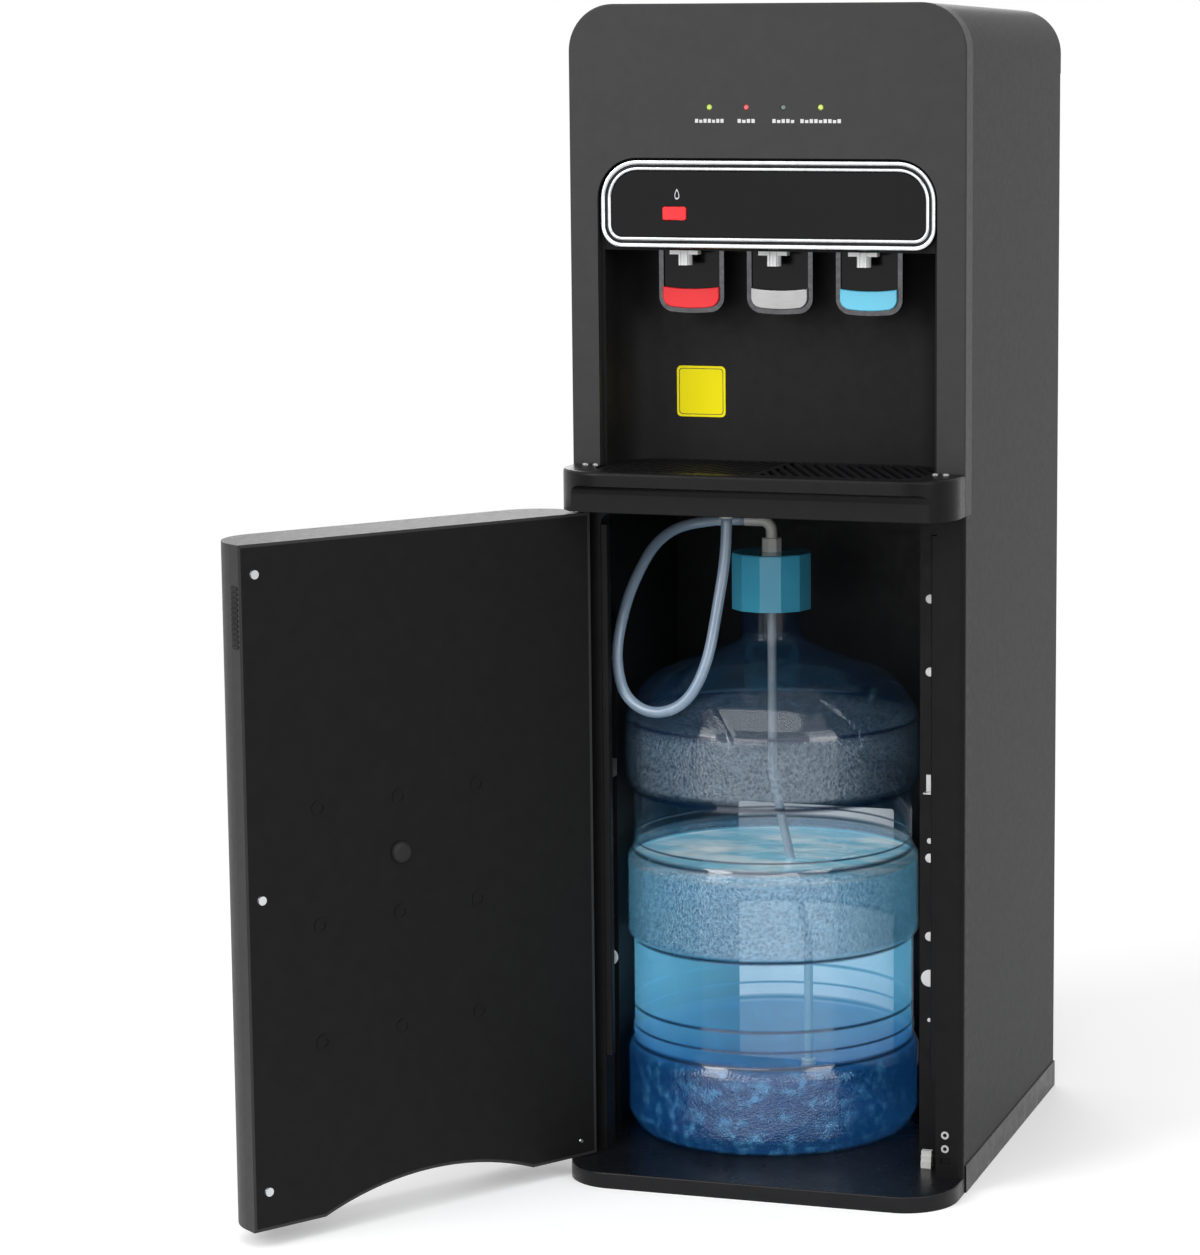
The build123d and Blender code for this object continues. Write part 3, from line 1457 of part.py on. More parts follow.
with BuildPart() as power_inlet:
    with BuildSketch(upright(panel_back_y)):
        with Locations((inlet_x, inlet_height)):
            RectangleRounded(inlet_width, inlet_tall + 2 * inlet_rim, inlet_rim / 2)
    extrude(amount=-inlet_flange)
    with BuildSketch(upright(panel_back_y)):
        with Locations((inlet_x, inlet_height)):
            Rectangle(inlet_body_width, inlet_body_tall)
    extrude(amount=inlet_body_depth)
    with BuildSketch(upright(panel_back_y + inlet_flange)):
        with Locations((inlet_x, inlet_height)):
            Rectangle(inlet_body_width - 2 * inlet_wall, inlet_body_tall - 2 * inlet_wall)
    extrude(amount=inlet_flange + inlet_body_depth - inlet_floor, mode=Mode.SUBTRACT)
    blade_root = panel_back_y - inlet_body_depth + inlet_floor
    with BuildSketch(upright(blade_root)):
        with Locations((inlet_x, inlet_height)):
            with Locations((0, blade_rise), (-blade_spread, blade_rise / 4), (blade_spread, blade_rise / 4)):
                Rectangle(blade_thick, blade_wide)
    extrude(amount=-blade_length)
keep(power_inlet.part, "power_inlet")

drain_flange = 12.5
drain_thread = drain_radius - seat_gap
drain_cap = 9.0
drain_grip_width = 4.0
drain_inside = 14.0

with BuildPart() as drain_plug:
    with Locations((drain_x, panel_back_y, drain_height)):
        Cylinder(drain_flange, drain_cap / 3, rotation=(-90, 0, 0), align=on_top)
        Cylinder(drain_thread, drain_inside, rotation=(90, 0, 0), align=on_top)
    with Locations((drain_x, panel_back_y + drain_cap / 3, drain_height)):
        Box(drain_grip_width, 2 * drain_cap / 3, 2 * drain_thread, align=(Align.CENTER, Align.MIN, Align.CENTER))
keep(drain_plug.part, "drain_plug")
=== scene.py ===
import bpy
from math import ceil, cos, hypot, pi, radians, sin, tan
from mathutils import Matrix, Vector

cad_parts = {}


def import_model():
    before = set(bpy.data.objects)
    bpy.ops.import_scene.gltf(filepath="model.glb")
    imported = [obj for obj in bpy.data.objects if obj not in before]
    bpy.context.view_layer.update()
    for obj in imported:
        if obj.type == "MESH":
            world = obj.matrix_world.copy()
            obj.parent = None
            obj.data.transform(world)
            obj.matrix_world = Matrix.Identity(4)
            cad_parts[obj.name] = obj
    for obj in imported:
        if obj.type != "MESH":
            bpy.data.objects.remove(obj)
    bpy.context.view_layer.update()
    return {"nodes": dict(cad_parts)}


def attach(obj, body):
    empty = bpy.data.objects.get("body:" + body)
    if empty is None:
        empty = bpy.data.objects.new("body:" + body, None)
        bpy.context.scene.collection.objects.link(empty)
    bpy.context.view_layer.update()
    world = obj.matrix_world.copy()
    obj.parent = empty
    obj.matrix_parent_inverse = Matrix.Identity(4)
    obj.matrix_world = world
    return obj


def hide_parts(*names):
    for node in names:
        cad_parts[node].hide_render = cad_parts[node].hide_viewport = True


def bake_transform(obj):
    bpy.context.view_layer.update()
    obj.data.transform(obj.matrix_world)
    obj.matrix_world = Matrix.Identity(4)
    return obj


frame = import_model()
nodes = frame["nodes"]

MM = 0.001
FRONT = -0.1775                         # the fascia's face
NICHE_BACK = FRONT + 0.075
BOTTLE_X, BOTTLE_Y = -0.037, -0.0425    # the bottle's axis
EVEN = (0.3, 0.7)                       # the span that a noise mostly covers


# ---------------------------------------------------------------- camera and studio
CAMERA_PLACE = (0.8844, -3.0434, 0.9391)
CAMERA_DOWN, CAMERA_TURN = 8.135, 15.42     # degrees
CAMERA_LENS, SENSOR_WIDTH = 107.45, 36.0
CAMERA_SHIFT = (-0.2282, -0.0267)
AMBIENT = 0.5
SHADOW_REACH, WHITE_REACH = 0.75, 1.7       # between these the floor turns plain white
FLOOR_TONE, FLOOR_GLOW = 0.84, 0.30         # near the object
LAMPS = (                                   # name, place, target, size, watts
    ("key", (-1.9, -2.6, 2.1), (0, 0, 0.55), (1.6, 1.6), 46),
    ("fill", (2.4, -1.6, 1.5), (0, 0, 0.5), (1.2, 2.0), 22),
    ("top", (0.0, -1.7, 2.6), (0, 0, 0.5), (3.0, 0.8), 24),
    ("low", (-0.4, -2.6, 0.7), (0, 0, 0.4), (2.0, 0.9), 10),
    ("back", (-1.0, 2.6, 1.8), (0, 0, 0.6), (1.6, 1.6), 24),
)


def studio():
    scene = bpy.context.scene
    data = bpy.data.cameras.new("camera")
    camera = bpy.data.objects.new("camera", data)
    scene.collection.objects.link(camera)
    camera.location = CAMERA_PLACE
    camera.rotation_euler = (radians(90 - CAMERA_DOWN), 0, radians(CAMERA_TURN))
    data.sensor_fit = "HORIZONTAL"
    data.sensor_width = SENSOR_WIDTH
    data.lens = CAMERA_LENS
    data.shift_x, data.shift_y = CAMERA_SHIFT
    data.clip_end = 100
    scene.camera = camera
    scene.view_settings.view_transform = "Standard"


def seen_directly(tree):
    """1 for camera, glossy and transmission rays."""
    path = tree.nodes.new("ShaderNodeLightPath")
    total = path.outputs["Is Camera Ray"]
    for name in ("Is Glossy Ray", "Is Transmission Ray"):
        join = tree.nodes.new("ShaderNodeMath")
        join.operation = "MAXIMUM"
        tree.links.new(total, join.inputs[0])
        tree.links.new(path.outputs[name], join.inputs[1])
        total = join.outputs[0]
    return total


def world():
    """White where it is seen, and a plain soft light otherwise."""
    w = bpy.data.worlds.new("studio")
    bpy.context.scene.world = w
    w.use_nodes = True
    tree = w.node_tree
    back = tree.nodes["Background"]
    back.inputs["Color"].default_value = (1, 1, 1, 1)
    level = tree.nodes.new("ShaderNodeMapRange")
    level.inputs["To Min"].default_value = AMBIENT
    level.inputs["To Max"].default_value = 1.0
    tree.links.new(seen_directly(tree), level.inputs["Value"])
    tree.links.new(level.outputs[0], back.inputs["Strength"])


def area(name, place, target, size, power):
    data = bpy.data.lights.new(name, "AREA")
    data.shape = "RECTANGLE"
    data.size, data.size_y = size
    data.energy = power
    lamp = bpy.data.objects.new(name, data)
    bpy.context.scene.collection.objects.link(lamp)
    lamp.location = place
    lamp.rotation_mode = "QUATERNION"
    lamp.rotation_quaternion = (Vector(target) - Vector(place)).to_track_quat("-Z", "Y")


def floor_ramp(tree, reach, near, far):
    """A value that turns softly from near to far as the floor leaves the object."""
    node = tree.nodes.new("ShaderNodeMapRange")
    node.interpolation_type = "SMOOTHSTEP"
    stops = (("From Min", SHADOW_REACH), ("From Max", WHITE_REACH), ("To Min", near), ("To Max", far))
    for key, number in stops:
        node.inputs[key].default_value = number
    tree.links.new(reach, node.inputs["Value"])
    return node.outputs[0]


def floor():
    """A pale floor that keeps the shadow near the object and turns plain white further out."""
    size = 30.0
    corners = [(-size, -size, 0), (size, -size, 0), (size, size, 0), (-size, size, 0)]
    mesh = bpy.data.meshes.new("floor")
    mesh.from_pydata(corners, [], [(0, 1, 2, 3)])
    ground = bpy.data.objects.new("floor", mesh)
    bpy.context.scene.collection.objects.link(ground)
    mat = bpy.data.materials.new("floor")
    mat.use_nodes = True
    tree = mat.node_tree
    tree.nodes.clear()
    place = tree.nodes.new("ShaderNodeTexCoord")
    reach = tree.nodes.new("ShaderNodeVectorMath")
    reach.operation = "LENGTH"
    tree.links.new(place.outputs["Object"], reach.inputs[0])
    glow_level = floor_ramp(tree, reach.outputs["Value"], FLOOR_GLOW, 1.0)
    tone = floor_ramp(tree, reach.outputs["Value"], FLOOR_TONE, 0.0)
    diffuse = tree.nodes.new("ShaderNodeBsdfDiffuse")
    glow = tree.nodes.new("ShaderNodeEmission")
    level = tree.nodes.new("ShaderNodeMath")
    level.operation = "MULTIPLY"
    add = tree.nodes.new("ShaderNodeAddShader")
    out = tree.nodes.new("ShaderNodeOutputMaterial")
    tree.links.new(tone, diffuse.inputs["Color"])
    tree.links.new(seen_directly(tree), level.inputs[0])
    tree.links.new(glow_level, level.inputs[1])
    tree.links.new(level.outputs[0], glow.inputs["Strength"])
    tree.links.new(diffuse.outputs[0], add.inputs[0])
    tree.links.new(glow.outputs[0], add.inputs[1])
    tree.links.new(add.outputs[0], out.inputs["Surface"])
    mesh.materials.append(mat)


studio()
world()
floor()
for lamp in LAMPS:
    area(*lamp)


# ---------------------------------------------------------------- materials
class Look:
    """One procedural material around a Principled shader, in the object's own coordinates."""

    def __init__(self, name):
        self.mat = bpy.data.materials.new(name)
        self.mat.use_nodes = True
        self.tree = self.mat.node_tree
        self.shader = self.tree.nodes["Principled BSDF"]
        self.place = self.tree.nodes.new("ShaderNodeTexCoord").outputs["Object"]

    def link(self, a, b):
        self.tree.links.new(a, b)

    def put(self, **values):
        """Numbers that are the same all over, on the shader's own sockets."""
        for key, value in values.items():
            self.shader.inputs[key.replace("_", " ")].default_value = value

    def drive(self, *sockets, by):
        for socket in sockets:
            self.link(by, self.shader.inputs[socket])

    def feed(self, socket, value):
        """A number, a colour or another node's output goes into a socket."""
        if isinstance(value, (tuple, list)):
            socket.default_value = (*value[:3], 1)
        elif isinstance(value, (int, float)):
            socket.default_value = value
        else:
            self.link(value, socket)

    def math(self, operation, a, b=None, clamp=False):
        node = self.tree.nodes.new("ShaderNodeMath")
        node.operation = operation
        node.use_clamp = clamp
        self.feed(node.inputs[0], a)
        if b is not None:
            self.feed(node.inputs[1], b)
        return node.outputs[0]

    def axis(self, name):
        split = self.tree.nodes.new("ShaderNodeSeparateXYZ")
        self.link(self.place, split.inputs[0])
        return split.outputs[name]

    def facing(self, blend):
        """0 where the surface faces the eye, 1 along its outline."""
        weight = self.tree.nodes.new("ShaderNodeLayerWeight")
        weight.inputs["Blend"].default_value = blend
        return weight.outputs["Facing"]

    def noise(self, scale, detail=4.0, stretch=(1, 1, 1), rough=0.5):
        mapping = self.tree.nodes.new("ShaderNodeMapping")
        mapping.inputs["Scale"].default_value = stretch
        self.link(self.place, mapping.inputs["Vector"])
        node = self.tree.nodes.new("ShaderNodeTexNoise")
        node.inputs["Scale"].default_value = scale
        node.inputs["Detail"].default_value = detail
        node.inputs["Roughness"].default_value = rough
        self.link(mapping.outputs[0], node.inputs["Vector"])
        return node.outputs[0]

    def cells(self, scale):
        node = self.tree.nodes.new("ShaderNodeTexVoronoi")
        node.inputs["Scale"].default_value = scale
        self.link(self.place, node.inputs["Vector"])
        return node.outputs["Distance"]

    def span(self, value, low, high, to_low=0, to_high=1):
        node = self.tree.nodes.new("ShaderNodeMapRange")
        stops = (("From Min", low), ("From Max", high), ("To Min", to_low), ("To Max", to_high))
        for key, number in stops:
            node.inputs[key].default_value = number
        self.link(value, node.inputs["Value"])
        return node.outputs[0]

    def cloud(self, scale, detail=4.0):
        """A soft noise from 0 to 1."""
        return self.span(self.noise(scale, detail), *EVEN)

    def mix(self, factor, a, b):
        """One colour turning into another."""
        node = self.tree.nodes.new("ShaderNodeMix")
        node.data_type = "RGBA"
        for socket, value in ((node.inputs[0], factor), (node.inputs[6], a), (node.inputs[7], b)):
            self.feed(socket, value)
        return node.outputs[2]

    def zones(self, height, stops, soft=0.004):
        """A number that steps softly with height: stops are (height, number), each up to the next."""
        current = stops[0][1]
        for limit, value in stops[1:]:
            node = self.tree.nodes.new("ShaderNodeMix")
            node.data_type = "FLOAT"
            self.link(self.span(height, limit - soft, limit + soft), node.inputs[0])
            self.feed(node.inputs[2], current)
            self.feed(node.inputs[3], value)
            current = node.outputs[0]
        return current

    def colour(self, a, b, scale):
        self.drive("Base Color", by=self.mix(self.cloud(scale), a, b))

    def rough(self, low, high, scale, detail=4.0, stretch=(1, 1, 1)):
        self.drive("Roughness", by=self.span(self.noise(scale, detail, stretch), *EVEN, low, high))

    def bump(self, height, strength=0.3, distance=0.0003):
        node = self.tree.nodes.new("ShaderNodeBump")
        node.inputs["Strength"].default_value = strength
        node.inputs["Distance"].default_value = distance
        self.link(height, node.inputs["Height"])
        self.drive("Normal", by=node.outputs[0])


def moulding(name, dark, light, rough, grain=1400, depth=0.00012, level=0.25, cloud=9.0):
    """Moulded plastic: cloudy colour, uneven gloss and a fine grain."""
    look = Look(name)
    look.put(Specular_IOR_Level=level)
    look.colour(dark, light, cloud)
    look.rough(*rough, 2.5 * cloud)
    look.bump(look.noise(grain, 2.0), 0.5, depth)
    return look.mat


def plated(name, dark, light, rough, stretch=(1, 1, 1), grain=300):
    """Plated or bare metal with faint wiping marks."""
    look = Look(name)
    look.put(Metallic=1.0)
    look.colour(dark, light, 14.0)
    look.rough(*rough, grain, 3.0, stretch)
    look.bump(look.noise(grain, 3.0, stretch), 0.12, 0.00006)
    return look.mat


def clear(name, dark, light, alpha, rough, grain=60):
    """Clear tinted plastic: thin where it faces the eye, denser along its edges."""
    look = Look(name)
    look.put(Coat_Weight=0.6, Coat_Roughness=0.04, Specular_IOR_Level=0.6)
    look.colour(dark, light, 11.0)
    look.rough(*rough, 30.0)
    look.drive("Alpha", by=look.span(look.facing(0.35), 0.0, 1.0, *alpha))
    look.bump(look.noise(grain, 2.0), 0.15, 0.0002)
    return look.mat


def lens_look():
    """Four lamps, told apart by where they sit along the row."""
    colours = ((0.45, 0.62, 0.03), (0.62, 0.015, 0.02), (0.03, 0.07, 0.05), (0.55, 0.68, 0.04))
    borders = (-0.034, 0.0, 0.034)
    look = Look("lens")
    look.put(Roughness=0.12, Coat_Weight=0.8, Specular_IOR_Level=0.6)
    x = look.axis("X")
    current = colours[0]
    for border, colour in zip(borders, colours[1:]):
        current = look.mix(look.math("GREATER_THAN", x, border), current, colour)
    shade = look.tree.nodes.new("ShaderNodeVectorMath")
    shade.operation = "SCALE"
    look.link(current, shade.inputs[0])
    look.link(look.span(look.cells(900), 0, 1, 0.75, 1.1), shade.inputs["Scale"])
    look.drive("Base Color", by=shade.outputs[0])
    look.bump(look.noise(700, 2), 0.1, 0.00005)
    return look.mat


def bead_look():
    """Bright plating whose groove and edges, further from the front, carry painted shade and run dark."""
    look = Look("plated_bead")
    look.put(Metallic=1.0)
    bright = look.mix(look.cloud(160, 3.0), (0.62, 0.63, 0.64), (0.80, 0.81, 0.82))
    # painted shade: the further the plating lies behind the front, the darker it is painted
    deep = look.span(look.axis("Y"), FRONT + 0.0024, FRONT + 0.0046)
    look.drive("Base Color", by=look.mix(deep, bright, (0.035, 0.035, 0.037)))
    look.rough(0.10, 0.16, 160.0)
    return look.mat


def paddle_look():
    """Plated rim round a black insert: the insert is the thin middle layer."""
    middle, insert_half = FRONT + 0.044, 0.0014
    look = Look("paddle")
    look.put(Specular_IOR_Level=0.1)
    depth = look.math("ABSOLUTE", look.math("SUBTRACT", look.axis("Y"), middle))
    rim = look.math("GREATER_THAN", depth, insert_half)
    metal = look.mix(look.cloud(240, 3.0), (0.040, 0.040, 0.043), (0.060, 0.060, 0.063))
    look.drive("Base Color", by=look.mix(rim, (0.004, 0.004, 0.0045), metal))
    look.drive("Metallic", by=rim)
    look.rough(0.16, 0.22, 30.0)
    look.bump(look.noise(240, 3.0), 0.04, 0.00002)
    return look.mat


def cover_look():
    """Pale galvanised sheet with a faint painted glow, so that it reads through the full bottle."""
    look = Look("galvanised")
    # painted glow: the sheet gives off light in its own tint, though it is no lamp
    look.put(Specular_IOR_Level=0.4, Emission_Strength=0.5)
    tint = look.mix(look.cloud(30), (0.66, 0.72, 0.76), (0.80, 0.84, 0.87))
    look.drive("Base Color", "Emission Color", by=tint)
    look.rough(0.35, 0.5, 75.0)
    look.bump(look.noise(300, 2.0), 0.4, 0.0001)
    return look.mat


# the dark lines are painted shade at the ridges and steps of the wall; the plastic is also made denser there
RIDGES = (      # height and half width of each dark line round the bottle
    (0.0935, 0.0040), (0.1080, 0.0016), (0.1260, 0.0022), (0.1880, 0.0034),
    (0.2660, 0.0040), (0.2750, 0.0014), (0.3220, 0.0046), (0.3840, 0.0030),
)
FACING_ALPHA = (    # from each height up, where the wall faces the eye
    (0.0, 0.50), (0.092, 0.03), (0.190, 0.46), (0.266, 0.05), (0.328, 0.42), (0.384, 0.14), (0.430, 0.12),
)
EDGE_ALPHA = ((0.0, 0.92), (0.092, 0.85), (0.190, 0.92), (0.266, 0.90), (0.328, 0.95))
PEBBLES = ((0.0, 0.6), (0.088, 0.0), (0.194, 1.0), (0.262, 0.0), (0.332, 0.7), (0.380, 0.0))
# painted shade: the dark blue of the outline and the ridge lines
OUTLINE_SHADE_BLUE = (0.003, 0.018, 0.060)


def bottle_look():
    """Clear blue bottle plastic: pebbled bands and ridges are denser, plain walls thinner; the ridges and
    the outline carry painted shade, the foot painted glints.
    """
    look = Look("bottle_blue")
    look.put(Coat_Weight=1.0, Coat_Roughness=0.04, Specular_IOR_Level=0.9)
    z = look.axis("Z")
    cloud = look.cloud(18, 3.0)
    speckle = look.span(look.cells(300), 0.20, 0.62)
    # painted glints: pale blue specks on the deep blue foot stand in for light caught in the plastic
    painted_glint = look.span(look.noise(85, 5.0, rough=0.7), 0.50, 0.66)
    shade = look.mix(painted_glint, (0.004, 0.050, 0.160), (0.110, 0.400, 0.680))
    for low, high, pattern, dark, light in (        # what lies over the foot, from the bottom up
        (0.086, 0.098, cloud, (0.010, 0.110, 0.330), (0.025, 0.170, 0.430)),
        (0.186, 0.194, speckle, (0.012, 0.075, 0.190), (0.240, 0.440, 0.620)),
        (0.262, 0.270, cloud, (0.012, 0.060, 0.130), (0.020, 0.090, 0.180)),
        (0.324, 0.332, speckle, (0.030, 0.075, 0.135), (0.240, 0.340, 0.440)),
        (0.372, 0.392, cloud, (0.006, 0.028, 0.075), (0.014, 0.050, 0.115)),
    ):
        shade = look.mix(look.span(z, low, high), shade, look.mix(pattern, dark, light))
    ridge = None
    for height, half in RIDGES:
        away = look.math("ABSOLUTE", look.math("SUBTRACT", z, height))
        line = look.math("SUBTRACT", 1.0, look.math("DIVIDE", away, half), clamp=True)
        ridge = line if ridge is None else look.math("MAXIMUM", ridge, line)
    facing = look.facing(0.30)
    # painted shade: the wall turns dark blue along its outline as seen and along the ridge lines
    outline = look.math("MAXIMUM", ridge, look.span(facing, 0.62, 0.88))
    look.drive("Base Color", by=look.mix(outline, shade, OUTLINE_SHADE_BLUE))
    thin = look.zones(z, FACING_ALPHA)
    extra = look.math("SUBTRACT", look.zones(z, EDGE_ALPHA), thin)
    alpha = look.math("ADD", thin, look.math("MULTIPLY", look.math("POWER", facing, 2.2), extra))
    look.drive("Alpha", by=look.math("MAXIMUM", alpha, look.math("MULTIPLY", ridge, 0.8)))
    look.rough(0.05, 0.12, 30.0)
    pebble = look.math("MULTIPLY", look.cells(420), look.zones(z, PEBBLES))
    wave = look.math("MULTIPLY", look.noise(22, 2.0), 0.8)
    look.bump(look.math("ADD", pebble, wave), 0.9, 0.0014)
    return look.mat


def water_look():
    """Clear blue water with a painted glow in its own tint: palest near its surface, deep blue in the foot
    of the bottle.
    """
    look = Look("water")
    # painted glow: Emission_Strength 1.0 makes the water give off light, though it is no lamp
    look.put(Coat_Weight=0.3, Coat_Roughness=0.06, Specular_IOR_Level=0.5, Emission_Strength=1.0)
    z = look.axis("Z")
    cloud = look.cloud(14, 2.0)
    tint = look.mix(cloud, (0.010, 0.110, 0.380), (0.020, 0.170, 0.480))
    for low, high, dark, light in (         # what lies over the foot
        (0.080, 0.125, (0.130, 0.540, 0.820), (0.210, 0.640, 0.900)),
        (0.15, 0.25, (0.170, 0.600, 0.820), (0.260, 0.700, 0.900)),
    ):
        tint = look.mix(look.span(z, low, high), tint, look.mix(cloud, dark, light))
    # the tint is both the water's colour and its painted glow
    look.drive("Base Color", "Emission Color", by=tint)
    look.drive("Alpha", by=look.span(look.facing(0.35), 0.0, 1.0, 0.13, 0.52))
    look.rough(0.05, 0.12, 20.0)
    look.bump(look.noise(14, 2.0), 0.2, 0.004)
    return look.mat


def surface_look():
    """The water's surface: pale streaks along its swell, which are painted highlights, over a painted glow.
    """
    look = Look("water_surface")
    # painted glow: Emission_Strength 0.5 in the surface's own colour
    look.put(Coat_Weight=0.6, Coat_Roughness=0.03, Emission_Strength=0.5, Alpha=0.94)
    # painted highlights: this noise sets where the pale streaks of reflected light lie
    swell = look.span(look.noise(15, 2.5, (1, 2.4, 1)), 0.44, 0.74)
    look.drive("Base Color", "Emission Color", by=look.mix(swell, (0.26, 0.62, 0.80), (0.90, 1.0, 1.0)))
    look.rough(0.04, 0.1, 30.0)
    look.bump(look.noise(60, 2.0), 0.2, 0.002)
    return look.mat


bezel_black = moulding(
    "bezel_black", (0.0165, 0.0165, 0.017), (0.0195, 0.0195, 0.020), (0.46, 0.52), level=0.34, cloud=60
)
niche_black = moulding(
    "niche_black", (0.0075, 0.0075, 0.008), (0.0095, 0.0095, 0.010), (0.5, 0.58), 900, level=0.15, cloud=60
)
door_black = moulding(
    "door_black", (0.0055, 0.0055, 0.0055), (0.0075, 0.0075, 0.0075), (0.44, 0.5), 1700, level=0.12, cloud=70
)
base_black = moulding(
    "base_black", (0.005, 0.005, 0.006), (0.008, 0.008, 0.009), (0.26, 0.36), 500, level=0.22, cloud=40
)
deck_black = moulding(
    "deck_black", (0.004, 0.004, 0.005), (0.007, 0.007, 0.008), (0.45, 0.6), 700, level=0.15, cloud=50
)
side_grey = moulding(
    "side_grey", (0.0098, 0.010, 0.0105), (0.0122, 0.0125, 0.013), (0.44, 0.48), 1100, 0.00006, 0.10, 80
)
frame_black = moulding(
    "frame_black", (0.0055, 0.0055, 0.006), (0.0075, 0.0075, 0.008), (0.4, 0.48), 1500, level=0.10, cloud=60
)
tray_black = moulding(
    "tray_black", (0.0055, 0.0055, 0.006), (0.0075, 0.0075, 0.008), (0.26, 0.34), 1300, level=0.12, cloud=60
)
gloss_black = moulding(
    "gloss_black", (0.0035, 0.0035, 0.0045), (0.005, 0.005, 0.006), (0.10, 0.14), 90, 0.00002, 0.09
)
red = moulding("red", (0.86, 0.018, 0.026), (0.93, 0.028, 0.038), (0.2, 0.28), 200, 0.00003)
blue = moulding("light_blue", (0.10, 0.56, 0.80), (0.14, 0.64, 0.88), (0.16, 0.26), 200, 0.00003, 0.5)
cream = moulding("cream", (0.60, 0.60, 0.57), (0.72, 0.72, 0.69), (0.25, 0.4), 400, level=0.5)
nozzle = moulding("nozzle", (0.86, 0.87, 0.88), (0.95, 0.95, 0.95), (0.14, 0.22), 400, level=0.8)
white = moulding("white", (0.75, 0.75, 0.75), (0.85, 0.85, 0.85), (0.3, 0.45), 400, level=0.5)
rubber = moulding("rubber", (0.010, 0.010, 0.010), (0.018, 0.018, 0.018), (0.5, 0.7), 800)
foam = moulding("foam", (0.04, 0.04, 0.045), (0.07, 0.07, 0.075), (0.8, 0.95), 300, 0.0006)
yellow = moulding("yellow", (0.93, 0.80, 0.001), (0.98, 0.86, 0.002), (0.3, 0.4), 600, 0.00002, 0.12)
mark = moulding("mark", (0.66, 0.66, 0.67), (0.78, 0.78, 0.79), (0.4, 0.5), 600)
dark_mark = moulding("dark_mark", (0.03, 0.025, 0.02), (0.05, 0.04, 0.03), (0.3, 0.45), 600)

chrome = plated("chrome", (0.50, 0.51, 0.52), (0.68, 0.69, 0.70), (0.08, 0.16), grain=180)
zinc = plated("zinc", (0.42, 0.42, 0.42), (0.56, 0.56, 0.55), (0.28, 0.5), grain=500)
brushed = plated("brushed", (0.26, 0.26, 0.26), (0.40, 0.40, 0.40), (0.36, 0.48), (0.04, 1, 1), 1600)
black_tube = plated("black_tube", (0.02, 0.02, 0.02), (0.04, 0.04, 0.04), (0.4, 0.6), grain=700)

cap_teal = clear("cap_teal", (0.05, 0.46, 0.72), (0.11, 0.60, 0.86), (0.70, 0.97), (0.10, 0.2))
tube_clear = clear("tube_clear", (0.60, 0.70, 0.80), (0.75, 0.84, 0.92), (0.55, 0.95), (0.1, 0.2))
hose_milky = clear("hose_milky", (0.30, 0.42, 0.56), (0.44, 0.56, 0.70), (0.60, 0.97), (0.15, 0.3), 90)

lens = lens_look()
paddle = paddle_look()
bead = bead_look()
galvanised = cover_look()
bottle_blue = bottle_look()
water_blue = water_look()
water_top = surface_look()

DRESS = {
    "base_pan": base_black, "floor_plate": base_black, "plinth_strips": base_black,
    "side_panel_right": side_grey, "side_panel_left": side_grey, "rear_panel": side_grey,
    "top_cap": side_grey, "front_bezel": bezel_black, "indicator_lenses": lens,
    "niche_liner": niche_black, "dispense_head": frame_black, "paddle_pins": zinc, "taps": nozzle,
    "chrome_frame": chrome, "control_panel": gloss_black, "lock_button": red,
    "paddle_hot": paddle, "paddle_room": paddle, "paddle_cold": paddle,
    "block_hot": red, "block_room": brushed, "block_cold": blue,
    "tray_housing": tray_black, "shoulder_screws": zinc,
    "drip_tray": deck_black, "drip_grille": deck_black,
    "door_frame": frame_black, "frame_screws": zinc, "edge_trims": frame_black,
    "compartment_back": deck_black, "compartment_ceiling": deck_black,
    "rails": deck_black, "rail_plugs": white, "corner_brackets": zinc,
    "service_cover": galvanised, "magnet_catch": cream, "hinge_pins": zinc,
    "inlet_fitting": cream, "pump": white, "cold_tank": foam, "hot_tank": zinc, "compressor": rubber,
    "condenser": black_tube, "switch_housings": rubber, "power_inlet": rubber, "drain_plug": rubber,
    "door_shell": bezel_black, "door_liner": door_black, "door_grip": rubber, "door_screws": chrome,
    "door_bumper": rubber, "bottle": bottle_blue, "bottle_cap": cap_teal, "elbow": cream,
    "dip_tube": tube_clear, "strainer": cream, "bottle_water": water_blue,
    "hot_switch": gloss_black, "cold_switch": gloss_black, "hose": hose_milky,
}
for name, node in nodes.items():
    node.data.materials.clear()
    node.data.materials.append(DRESS[name])


# ---------------------------------------------------------------- mesh helpers
def piece(name, points, faces, material, body, smooth=True):
    mesh = bpy.data.meshes.new(name)
    mesh.from_pydata([tuple(p) for p in points], [], faces)
    mesh.update()
    if smooth:
        mesh.polygons.foreach_set("use_smooth", [True] * len(mesh.polygons))
    mesh.materials.append(material)
    obj = bpy.data.objects.new(name, mesh)
    bpy.context.scene.collection.objects.link(obj)
    if body:
        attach(obj, body)
    return obj


